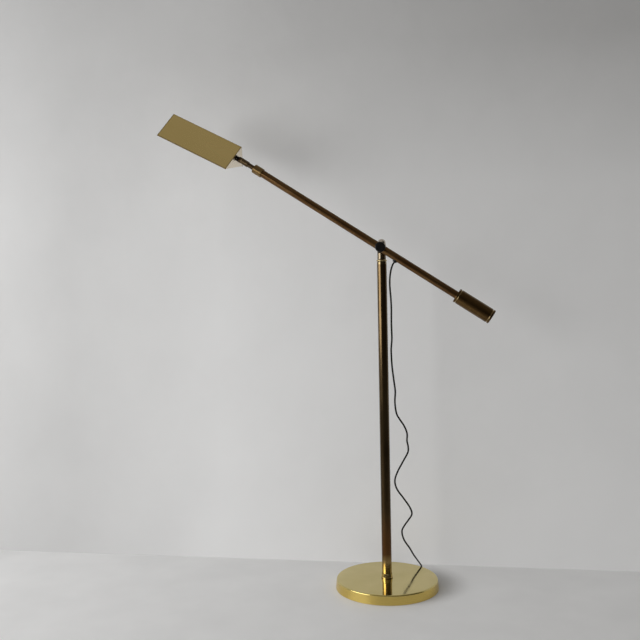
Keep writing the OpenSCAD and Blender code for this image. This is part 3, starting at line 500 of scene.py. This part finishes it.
# Node trees for what repeats or winds
def start_tree(name, sockets):
    tree = bpy.data.node_groups.new(name, "GeometryNodeTree")
    tree.interface.new_socket(name="Geometry", in_out="INPUT", socket_type="NodeSocketGeometry")
    for label, kind in sockets:
        tree.interface.new_socket(name=label, in_out="INPUT", socket_type="NodeSocket" + kind)
    tree.interface.new_socket(name="Material", in_out="INPUT", socket_type="NodeSocketMaterial")
    tree.interface.new_socket(name="Geometry", in_out="OUTPUT", socket_type="NodeSocketGeometry")
    return tree, tree.nodes.new("NodeGroupInput").outputs


def end_tree(tree, geometry, material):
    real = tree.nodes.new("GeometryNodeRealizeInstances")
    paint = tree.nodes.new("GeometryNodeSetMaterial")
    tree.links.new(geometry, real.inputs["Geometry"])
    tree.links.new(real.outputs["Geometry"], paint.inputs["Geometry"])
    tree.links.new(material, paint.inputs["Material"])
    tree.links.new(paint.outputs["Geometry"], tree.nodes.new("NodeGroupOutput").inputs[0])
    return tree


def repeat_tree():
    """The given piece again and again, each moved by Step, turned by Turn and scaled towards End Scale."""
    tree, given = start_tree("repeat_piece", [("Count", "Int"), ("Step", "Vector"), ("Turn", "Float"),
                                              ("End Scale", "Float")])
    line = tree.nodes.new("GeometryNodeMeshLine")
    tree.links.new(given["Count"], line.inputs["Count"])
    tree.links.new(given["Step"], line.inputs["Offset"])
    index = tree.nodes.new("GeometryNodeInputIndex").outputs["Index"]
    angle = tree.nodes.new("ShaderNodeCombineXYZ")
    tree.links.new(sums(tree, "MULTIPLY", index, given["Turn"]), angle.inputs["Z"])
    share = sums(tree, "DIVIDE", index, sums(tree, "SUBTRACT", given["Count"], 1))
    size = sums(tree, "ADD", 1, sums(tree, "MULTIPLY", share, sums(tree, "SUBTRACT", given["End Scale"], 1)))
    put = tree.nodes.new("GeometryNodeInstanceOnPoints")
    tree.links.new(line.outputs["Mesh"], put.inputs["Points"])
    tree.links.new(given["Geometry"], put.inputs["Instance"])
    tree.links.new(angle.outputs["Vector"], put.inputs["Rotation"])
    tree.links.new(size, put.inputs["Scale"])
    return end_tree(tree, put.outputs["Instances"], given["Material"])


def thread_tree():
    """A rolled thread: the wall of the given tube goes in and out along a helix between Start and End."""
    tree, given = start_tree("rolled_thread", [("Pitch", "Float"), ("Depth", "Float"), ("Start", "Float"),
                                               ("End", "Float")])
    split = tree.nodes.new("ShaderNodeSeparateXYZ")
    tree.links.new(tree.nodes.new("GeometryNodeInputPosition").outputs["Position"], split.inputs["Vector"])
    x, y, z = split.outputs
    angle = sums(tree, "ARCTAN2", y, x)
    turns = sums(tree, "MULTIPLY", sums(tree, "DIVIDE", z, given["Pitch"]), 2 * math.pi)
    ridge = sums(tree, "COSINE", sums(tree, "SUBTRACT", turns, angle), 0)
    wave = sums(tree, "MULTIPLY", ridge, given["Depth"])
    for near, far in ((given["Start"], sums(tree, "ADD", given["Start"], given["Pitch"])),
                      (given["End"], sums(tree, "SUBTRACT", given["End"], given["Pitch"]))):
        fade = tree.nodes.new("ShaderNodeMapRange")
        fade.interpolation_type = "SMOOTHSTEP"
        tree.links.new(z, fade.inputs["Value"])
        tree.links.new(near, fade.inputs["From Min"])
        tree.links.new(far, fade.inputs["From Max"])
        wave = sums(tree, "MULTIPLY", wave, fade.outputs["Result"])
    push = tree.nodes.new("ShaderNodeCombineXYZ")
    tree.links.new(sums(tree, "MULTIPLY", wave, sums(tree, "COSINE", angle, 0)), push.inputs["X"])
    tree.links.new(sums(tree, "MULTIPLY", wave, sums(tree, "SINE", angle, 0)), push.inputs["Y"])
    move = tree.nodes.new("GeometryNodeSetPosition")
    tree.links.new(given["Geometry"], move.inputs["Geometry"])
    tree.links.new(push.outputs["Vector"], move.inputs["Offset"])
    return end_tree(tree, move.outputs["Geometry"], given["Material"])


REPEAT, THREAD = repeat_tree(), thread_tree()


def grown(name, bm, tree, material, place, **values):
    """The piece that a node tree makes from a mesh, as a plain mesh in place."""
    bmesh.ops.recalc_face_normals(bm, faces=bm.faces)
    start = bpy.data.meshes.new(name + "_start")
    bm.to_mesh(start)
    bm.free()
    seed = bpy.data.objects.new(name + "_start", start)
    bpy.context.scene.collection.objects.link(seed)
    grow = seed.modifiers.new("grow", "NODES")
    grow.node_group = tree
    values["Material"] = material
    for item in tree.interface.items_tree:
        key = item.name.replace(" ", "_")
        if item.in_out == "INPUT" and key in values:
            grow[item.identifier] = values[key]
    bpy.context.view_layer.update()
    mesh = bpy.data.meshes.new_from_object(seed.evaluated_get(bpy.context.evaluated_depsgraph_get()))
    bpy.data.objects.remove(seed)
    mesh.name = name
    return piece_of(name, mesh, material, place)


# Lead: points in millimetres, as in the part's source
LEAD_WIDTH, LOBE_R, LOBE_AT, LOBE_STEPS = 0.0044, 0.0013, 0.0009, 8
HANGS_FROM, HANGS_OVER, LIES_AT, LIES_OVER, RIM_LEAN = 0.03, 0.08, 0.0055, 0.008, 0.6
GLAND_EXIT = [ARM @ Vector((-0.0129 - i * 0.0036, 0, -0.0478)) for i in range(3)]
HANG_TOP = [(21, -20, 800), (18, -19, 780), (18, -17, 757), (20, -15, 730)]
HANG_JOIN = (21, -13, 706)
HANG_DROP = [
    (21, -8, 664), (22, -3, 627), (20, 0, 599), (22, 5, 559), (27, 11, 518), (30, 14, 493), (29, 18, 465),
    (33, 23, 436), (42, 26, 419), (53, 29, 402), (60, 31, 383), (60, 34, 363), (63, 37, 348), (62, 40, 332),
    (49, 44, 307), (35, 50, 279), (29, 55, 256), (35, 60, 233), (53, 65, 207), (69, 71, 182), (74, 75, 164),
    (65, 78, 148), (54, 80, 132), (48, 82, 117), (53, 83, 95), (68, 83, 72), (77, 83, 56), (88, 82, 40),
    (97, 82.5, 27),
]
OVER_RIM = [(98, 88, 18), (99, 97, 9), (96, 112, 4)]
# The hank, drawn in at its waist, with the flat lead lying down
HANK_X, HANK_Y, HANK_HALF, FOLD_R, PITCH, WAIST, LOOPS = 6, 154.5, 33, 13.6, 4.8, 9.6, 3
LAYER_LOW, LAYER_HIGH = 2.0, 5.0
RUN_SHARE = 2 * HANK_HALF / (4 * HANK_HALF + 2 * math.pi * (FOLD_R + PITCH * LOOPS / 4))
TURNS = LOOPS + RUN_SHARE
OUT_R = FOLD_R + PITCH * TURNS / 2
LEVEL = 3.6
START_X, END_X, HANK_EDGE = HANK_X + HANK_HALF + LEVEL, HANK_X - HANK_HALF - LEVEL, HANK_Y - OUT_R


def hank_point(u):
    """A point of the hank after u turns, in millimetres."""
    r = OUT_R - PITCH * min(u, TURNS - u)
    t = min(max((u - LOOPS / 2) / RUN_SHARE, 0), 1)
    z = LAYER_LOW + (LAYER_HIGH - LAYER_LOW) * t * t * (3 - 2 * t)
    phase = u % 1
    fold = 0.5 - RUN_SHARE
    far = phase >= 0.5
    part = phase - 0.5 if far else phase
    if part < RUN_SHARE:
        x = HANK_HALF * (1 - 2 * part / RUN_SHARE)
        y = WAIST * (1 + math.cos(math.pi * x / HANK_HALF)) / 2 - r
    else:
        a = math.pi * (part - RUN_SHARE) / fold
        x, y = -HANK_HALF - r * math.sin(a), -r * math.cos(a)
    return (HANK_X - x, HANK_Y - y, z) if far else (HANK_X + x, HANK_Y + y, z)


def curve_through(points, steps):
    """A smooth curve through the points, with steps to each stretch."""
    out = []
    last = len(points) - 1
    for i in range(last):
        a, b, c, d = points[max(i - 1, 0)], points[i], points[i + 1], points[min(i + 2, last)]
        for k in range(steps):
            t = k / steps
            out.append((2 * b + (c - a) * t + (2 * a - 5 * b + 4 * c - d) * t * t
                        + (3 * b - a - 3 * c + d) * t ** 3) / 2)
    return out + [points[-1]]


def in_metres(points):
    return [Vector(p) * MM for p in points]


PLUG_ANGLE, PLUG_R, PLUG_HALF_H, PLUG_BACK = math.radians(122), 0.142, 0.006, 0.022
PLUG_TURN = PLUG_ANGLE + math.pi / 2
PLUG_DIR = Vector((math.cos(PLUG_TURN), math.sin(PLUG_TURN), 0))
PLUG_MID = Vector((PLUG_R * math.cos(PLUG_ANGLE), PLUG_R * math.sin(PLUG_ANGLE), PLUG_HALF_H))
PLUG = Matrix.Translation(PLUG_MID) @ Matrix.Rotation(PLUG_TURN, 4, "Z")
PLUG_ENTRY = PLUG_MID - PLUG_DIR * PLUG_BACK

STEPS, TAIL_STEPS, HANK_RINGS = 10, 8, 72
floor_turn = in_metres([(84, HANK_EDGE - 3, LAYER_LOW), (62, HANK_EDGE, LAYER_LOW),
                        (START_X + LEVEL, HANK_EDGE, LAYER_LOW), (START_X, HANK_EDGE, LAYER_LOW)])
hang = in_metres(HANG_TOP + [HANG_JOIN] + HANG_DROP + OVER_RIM)
hung = curve_through(GLAND_EXIT + hang + floor_turn, STEPS)
JOIN = STEPS * (len(GLAND_EXIT) + len(HANG_TOP))
hank = in_metres([hank_point(i / HANK_RINGS) for i in range(int(TURNS * HANK_RINGS) + 1)])
tail = curve_through(in_metres([(END_X - i * LEVEL, HANK_EDGE, LAYER_HIGH) for i in range(3)])
                     + [PLUG_ENTRY - PLUG_DIR * (i * LEVEL * MM) for i in (2, 1, 0)], TAIL_STEPS)
LEAD_PATH = hung + hank + tail


def lead_section():
    """The outline of two round cores side by side, with the groove between them."""
    groove = math.acos(-LOBE_AT / LOBE_R)
    out = []
    for side, shared in ((1, 0), (-1, 1)):
        for k in range(shared, LOBE_STEPS + 1 - shared):
            a = -groove + 2 * groove * k / LOBE_STEPS
            out.append((side * (LOBE_AT + LOBE_R * math.cos(a)), side * LOBE_R * math.sin(a)))
    return out


def lies_on(p):
    """The way that the lead's flat side faces: back as it hangs, off the base at its rim, up on the floor."""
    hangs = min(max((p.z - HANGS_FROM) / HANGS_OVER, 0), 1)
    lifted = min(max((p.z - LIES_AT) / LIES_OVER, 0), 1)
    aside = Vector((0, 1, 0)) * hangs + Vector((p.x, p.y, 0)).normalized() * (1 - hangs)
    return (aside * lifted + Vector((0, 0, 1 - RIM_LEAN * lifted))).normalized()


def lead_frames(path):
    """For each point of the path, the directions across the flat lead and through it."""
    out = []
    for i, p in enumerate(path):
        ahead = (path[min(i + 1, len(path) - 1)] - path[max(i - 1, 0)]).normalized()
        across = lies_on(p).cross(ahead).normalized()
        if out and across.dot(out[-1][0]) < 0:
            across.negate()
        out.append((across, ahead.cross(across)))
    return out


def sweep(name, path, sides, section, material):
    """A closed tube of that section along the path."""
    bm = bmesh.new()
    rings = [[bm.verts.new(p + across * x + through * y) for x, y in section]
             for p, (across, through) in zip(path, sides)]
    join_rings(bm, rings)
    bm.faces.new(rings[0][::-1])
    bm.faces.new(rings[-1])
    return new_piece(name, bm, material)


lead_sides = lead_frames(LEAD_PATH)
section = lead_section()
lead_top = sweep("lead_top", LEAD_PATH[:JOIN + 1], lead_sides[:JOIN + 1], section, LEAD_SKIN)
lead_drop = sweep("lead_drop", LEAD_PATH[JOIN:], lead_sides[JOIN:], section, LEAD_SKIN)


# Plug, with finger grips along its sides and rings round its tapered relief
PLUG_STATIONS = [  # along, half width, half height, squareness
    (-22, 2.6, 2.4, 2), (-21.6, 2.75, 2.55, 2), (-13.6, 5.0, 4.6, 2.2), (-13.0, 6.4, 5.0, 2.6),
    (-12.0, 8.2, 5.6, 3), (-10, 9.0, 5.8, 3.4), (-5, 9.3, 5.9, 3.8), (5, 9.4, 5.95, 4.4), (11, 9.4, 5.95, 5),
    (12.4, 9.2, 5.8, 5), (13, 8.8, 5.4, 5),
]
PLUG_SIDES = 40
RING_R, RING_HIGH, RING_LONG, RING_FLAT, RING_SIDES, RING_CORNERS = 4.75, 0.4, 0.45, 0.95, 32, 8
GRIP_SIZE, GRIP_BACK, GRIP_OUT, GRIP_STEP, GRIPS = (0.7, 0.75, 3.6), -6, 9.0, 2.4, 6
RELIEF_AT, RELIEF_STEP, RELIEF_TAPER, RELIEF_RINGS = -14.4, -1.6, 0.62, 5


def plug_mesh():
    bm = bmesh.new()
    rings = []
    for along, wide, high, square in PLUG_STATIONS:
        ring = []
        for k in range(PLUG_SIDES):
            a = 2 * math.pi * k / PLUG_SIDES
            c, s = math.cos(a), math.sin(a)
            y = math.copysign(abs(c) ** (2 / square), c) * wide
            z = math.copysign(abs(s) ** (2 / square), s) * high
            ring.append(bm.verts.new(Vector((along, y, z)) * MM))
        rings.append(ring)
    join_rings(bm, rings)
    bm.faces.new(rings[0][::-1])
    bm.faces.new(rings[-1])
    return bm


def relief_ring():
    """A thin round ring about X."""
    bm = bmesh.new()
    rings = []
    for k in range(RING_SIDES):
        a = 2 * math.pi * k / RING_SIDES
        ring = []
        for j in range(RING_CORNERS):
            b = 2 * math.pi * j / RING_CORNERS
            r = RING_R + RING_HIGH * math.cos(b)
            corner = (RING_LONG * math.sin(b), r * math.cos(a), r * math.sin(a) * RING_FLAT)
            ring.append(bm.verts.new(Vector(corner) * MM))
        rings.append(ring)
    join_rings(bm, rings, closed=True)
    return bm


plug = new_piece("plug_moulding", plug_mesh(), BLACK, PLUG)
grip_pair = bead(GRIP_SIZE, (GRIP_BACK, GRIP_OUT, 0), bead(GRIP_SIZE, (GRIP_BACK, -GRIP_OUT, 0)))
grips = grown("plug_grips", grip_pair, REPEAT, BLACK, PLUG, Count=GRIPS, Step=(GRIP_STEP * MM, 0, 0),
              Turn=0.0, End_Scale=1.0)
relief_place = PLUG @ Matrix.Translation((RELIEF_AT * MM, 0, 0))
relief = grown("relief_rings", relief_ring(), REPEAT, BLACK, relief_place, Count=RELIEF_RINGS,
               Step=(RELIEF_STEP * MM, 0, 0), Turn=0.0, End_Scale=RELIEF_TAPER)


# Strap round the hank's waist: a thin woven band, rounded at its corners
def strap_mesh():
    half, low, high, corner, wide, thick, corner_steps = 14.3, 0.3, 6.9, 2.2, 8.0, 0.5, 6
    path = []
    for cy, cz, start in ((half - corner, high - corner, 0), (corner - half, high - corner, 90),
                          (corner - half, low + corner, 180), (half - corner, low + corner, 270)):
        for k in range(corner_steps + 1):
            a = math.radians(start + 90 * k / corner_steps)
            path.append((cy, cz, math.cos(a), math.sin(a)))
    bm = bmesh.new()
    rings = []
    for cy, cz, c, s in path:
        ring = []
        for x, out in ((-wide / 2, 0.5), (-wide / 2, -0.5), (wide / 2, -0.5), (wide / 2, 0.5)):
            r = corner + out * thick
            ring.append(bm.verts.new(Vector((x, cy + r * c, cz + r * s)) * MM))
        rings.append(ring)
    join_rings(bm, rings, closed=True)
    return bm


strap = new_piece("hank_strap", strap_mesh(), STRAP, Matrix.Translation(Vector((HANK_X, HANK_Y, 0)) * MM))

for piece, slot_name, nodes in ((plug, "black_plastic", ["plug_body"]), (grips, "black_plastic", []),
                                (relief, "black_plastic", []), (strap, "black_plastic", ["hank_tie"])):
    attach(piece, "base")
    if nodes:
        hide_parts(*nodes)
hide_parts("cord_top")
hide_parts("cord_drop", "cord_hank", "cord_tail")
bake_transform(lead_top)
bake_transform(lead_drop)


# Felt under the base, its cut edge a little uneven
FELT_R, FELT_T, FELT_SIDES = 123.4, 2.0, 240
FELT_EDGE, FELT_TRIM = 2, 0.001
FELT_WAVES = [(0.0009, 37, 0), (0.0007, 61, 1), (0.0006, 113, 2)]


def felt_mesh():
    """A disc with a soft edge, trimmed and waved by small shares of its size."""
    inner = FELT_R - 20
    edge = [(FELT_R - 0.7, 0), (FELT_R - 0.1, 0.5), (FELT_R, 1.2), (FELT_R - 0.2, 1.8),
            (FELT_R - 0.6, FELT_T)]
    bm = turned([(0, 0), (inner, 0)] + edge + [(inner, FELT_T), (0, FELT_T)], FELT_SIDES)
    for v in bm.verts:
        a = math.atan2(v.co.y, v.co.x)
        wave = sum(size * math.sin(count * a + start) for size, count, start in FELT_WAVES)
        if math.hypot(v.co.x, v.co.y) > (FELT_R - FELT_EDGE) * MM:
            v.co.xy = v.co.xy * (1 - FELT_TRIM + wave)
    return bm


felt = new_piece("felt_pad", felt_mesh(), FELT)
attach(felt, "base")
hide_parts("base_felt")


# Bulb cap and screw shell with their rolled threads, and the crimps round the lampholder's mouth
PITCH_OF_CAP, THREAD_STEP, THREAD_SIDES = 3.63, 0.3, 96
SHELL_AT, BULB_FOOT, SHELL_LEN, CAP_LEN, HOLDER_END = 43.4, 44.4, 18, 24, 65.4
SHELL_R, SHELL_BORE, SHELL_DEPTH, SHELL_START, SHELL_END = 13.4, 13.05, 0.36, 0.6, 17.4
CAP_R, CAP_WALL, CAP_ROLL, CAP_DEPTH, CAP_START, CAP_END = 12.35, 5.2, 0.4, 0.42, 5.4, 21.5
CRIMP_SIZE, CRIMP_R, CRIMP_BACK, CRIMPS = (0.4, 0.55, 1.7), 16.45, 4.2, 48
BULB_FOOT_SIDES = 64
BULB_FOOT_PROFILE = [(0, 0.1), (3.2, 0.1), (4.3, 0.6), (4.5, 1.2), (6.5, 2.2), (9.6, 4.0), (10.3, 4.4),
                     (0, 4.4)]


def along_head(z):
    return HEAD @ Matrix.Translation((0, 0, z * MM))


def wall_points(r, low, high):
    count = round(abs(high - low) / THREAD_STEP)
    return [(r, low + (high - low) * k / count) for k in range(count + 1)]


cap_profile = [(0, 4.5), (10.4, 4.5), (11.6, 4.7)] + wall_points(CAP_R, CAP_WALL, CAP_LEN - CAP_ROLL)
cap_profile += [(12.0, CAP_LEN), (0, CAP_LEN)]
cap = grown("bulb_thread", turned(cap_profile, THREAD_SIDES), THREAD, SHELL_METAL, along_head(BULB_FOOT),
            Pitch=PITCH_OF_CAP * MM, Depth=CAP_DEPTH * MM, Start=CAP_START * MM, End=CAP_END * MM)
foot = new_piece("bulb_foot", turned(BULB_FOOT_PROFILE, BULB_FOOT_SIDES), CORE_BLACK, along_head(BULB_FOOT))
shell_profile = wall_points(SHELL_R, 0, SHELL_LEN) + wall_points(SHELL_BORE, SHELL_LEN, 0)
shell = grown("threaded_shell", turned(shell_profile, THREAD_SIDES, closed=True), THREAD, SHELL_METAL,
              along_head(SHELL_AT), Pitch=PITCH_OF_CAP * MM, Depth=SHELL_DEPTH * MM, Start=SHELL_START * MM,
              End=SHELL_END * MM)
crimps = grown("holder_crimps", bead(CRIMP_SIZE, (CRIMP_R, 0, 0)), REPEAT, BRIGHT_BRASS,
               along_head(HOLDER_END - CRIMP_BACK), Count=CRIMPS, Step=(0, 0, 0), Turn=2 * math.pi / CRIMPS,
               End_Scale=1.0)
for piece, slot_name, nodes in ((cap, "aluminium", ["bulb_cap"]), (foot, "black_plastic", []),
                                (shell, "aluminium", ["screw_shell"]), (crimps, "polished_brass", [])):
    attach(piece, "head")
    if nodes:
        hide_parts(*nodes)


# Stage and light
WALL_LEFT, WALL_RIGHT, WALL_BEHIND, WALL_ASKEW, WALL_TOP = -3, 2, 0.19, -0.16, 4
# The wall's painted glow by height, and how much it dims towards the window
WALL_GLOW = [(place, (level, level, level)) for place, level in
             ((0.0, 0.235), (0.16, 0.215), (0.26, 0.175), (0.36, 0.055), (0.5, 0.03))]
WALL_DIM, WALL_FADE = 0.25, (-0.9, -0.45)
FLOOR_HALF, FLOOR_GLOW = 6, (0.185, 0.185, 0.185, 1)
# A painted pool of light on the floor, painted dimmer out in the room, and a painted shadow of the base on
# its far side from the window
POOL_AT, POOL_STRETCH, POOL_EDGE = (-0.15, 0.1), 1.7, (0.95, 2.5)
FAR_FLOOR, FAR_GLOW = (0.24, 0.235, 0.225), 0.25
SHADOW_AT, SHADOW_EDGE, SHADOW_GLOW = (0.05, 0.03), (0.085, 0.165), 0.15
WINDOW_AT, WINDOW_FACES, WINDOW_SIZE, WINDOW_POWER = (-2.35, -1.0, 1.035), (0, 0.05, 1.035), (2.2, 1.07), 37
CEILING_WAY = (-0.30, -0.15, 0.94)


def stage_plane(name, corners, material):
    mesh = bpy.data.meshes.new(name)
    mesh.from_pydata(corners, [], [(0, 1, 2, 3)])
    mesh.materials.append(material)
    obj = bpy.data.objects.new(name, mesh)
    bpy.context.scene.collection.objects.link(obj)


def seen_rays(tree):
    """1 where the stage is seen, straight or in metal and glass, and 0 where it would light the lamp."""
    ray = tree.nodes.new("ShaderNodeLightPath").outputs
    mirrored = sums(tree, "MAXIMUM", ray["Is Glossy Ray"], ray["Is Transmission Ray"])
    return sums(tree, "MAXIMUM", ray["Is Camera Ray"], mirrored)


def make_floor():
    """Pale paint with a painted pool of light by the wall, painted dimmer out in the room, with a painted
    shadow of the base.
    """
    floor, tree, shader = finish_of("floor_paint", Roughness=0.55, Emission_Color=FLOOR_GLOW)
    x, y = axes(tree, REST)[:2]
    far = away_from(tree, x, y, POOL_AT, POOL_STRETCH)
    tone = ramp(tree, noise(tree, 6, 4), *between((0.60, 0.60, 0.60), (0.66, 0.66, 0.66)))
    paint = mixed(tree, spread(tree, far, 0, 1, *POOL_EDGE), tone, FAR_FLOOR)
    tree.links.new(paint, shader.inputs["Base Color"])
    near = spread(tree, far, 1, FAR_GLOW, *POOL_EDGE)
    # Painted shadow of the base in the floor's glow
    open_floor = spread(tree, away_from(tree, x, y, SHADOW_AT), SHADOW_GLOW, 1, *SHADOW_EDGE)
    glow = sums(tree, "MULTIPLY", near, open_floor)
    tree.links.new(sums(tree, "MULTIPLY", seen_rays(tree), glow), shader.inputs["Emission Strength"])
    corners = [(FLOOR_HALF * i, FLOOR_HALF * j, 0) for i, j in ((-1, -1), (1, -1), (1, 1), (-1, 1))]
    stage_plane("floor", corners, floor)


def make_wall():
    """Pale plaster, a little askew behind the lamp, with a painted glow dimmer towards its top and the
    window. From behind it is clear.
    """
    wall, tree, shader = finish_of("wall_plaster", Roughness=0.8)
    tone = ramp(tree, noise(tree, 4, 6), *between((0.68, 0.68, 0.68), (0.72, 0.72, 0.72)))
    tree.links.new(tone, shader.inputs["Base Color"])
    raise_surface(tree, noise(tree, 9, 5), shader, 0.004, 0.5)
    place = axes(tree, REST)
    glow = ramp(tree, spread(tree, place["Z"], 0, 1, 0, WALL_TOP), *WALL_GLOW)
    tree.links.new(glow, shader.inputs["Emission Color"])
    by_window = spread(tree, place["X"], WALL_DIM, 1, *WALL_FADE)
    tree.links.new(sums(tree, "MULTIPLY", seen_rays(tree), by_window), shader.inputs["Emission Strength"])
    clear = tree.nodes.new("ShaderNodeBsdfTransparent")
    pick = tree.nodes.new("ShaderNodeMixShader")
    facing = tree.nodes.new("ShaderNodeNewGeometry")
    tree.links.new(facing.outputs["Backfacing"], pick.inputs["Fac"])
    tree.links.new(shader.outputs["BSDF"], pick.inputs[1])
    tree.links.new(clear.outputs["BSDF"], pick.inputs[2])
    tree.links.new(pick.outputs["Shader"], tree.nodes["Material Output"].inputs["Surface"])
    left, right = ((along, WALL_BEHIND + WALL_ASKEW * along) for along in (WALL_LEFT, WALL_RIGHT))
    stage_plane("wall", [(*left, 0), (*right, 0), (*right, WALL_TOP), (*left, WALL_TOP)], wall)


def soft_light(name, place, target, size, power):
    data = bpy.data.lights.new(name, "AREA")
    data.shape = "RECTANGLE"
    data.size, data.size_y = size
    data.energy = power
    obj = bpy.data.objects.new(name, data)
    obj.location = place
    obj.rotation_euler = (Vector(target) - Vector(place)).to_track_quat("-Z", "Y").to_euler()
    bpy.context.scene.collection.objects.link(obj)


def make_light():
    """A dim room with a paler ceiling towards the window, and the window's light."""
    world = bpy.data.worlds.new("room")
    world.use_nodes = True
    tree = world.node_tree
    coord = tree.nodes.new("ShaderNodeTexCoord")
    lean = tree.nodes.new("ShaderNodeVectorMath")
    lean.operation = "DOT_PRODUCT"
    lean.inputs[1].default_value = CEILING_WAY
    tree.links.new(coord.outputs["Generated"], lean.inputs[0])
    sky = ramp(tree, lean.outputs["Value"], (0.0, (0.05, 0.047, 0.044)), (0.45, (0.09, 0.086, 0.08)),
               (0.85, (0.32, 0.31, 0.29)), (1.0, (0.36, 0.35, 0.33)))
    tree.links.new(sky, tree.nodes["Background"].inputs["Color"])
    bpy.context.scene.world = world
    soft_light("window", WINDOW_AT, WINDOW_FACES, WINDOW_SIZE, WINDOW_POWER)


make_floor()
make_wall()
make_light()
bpy.context.scene.view_settings.view_transform = "Standard"
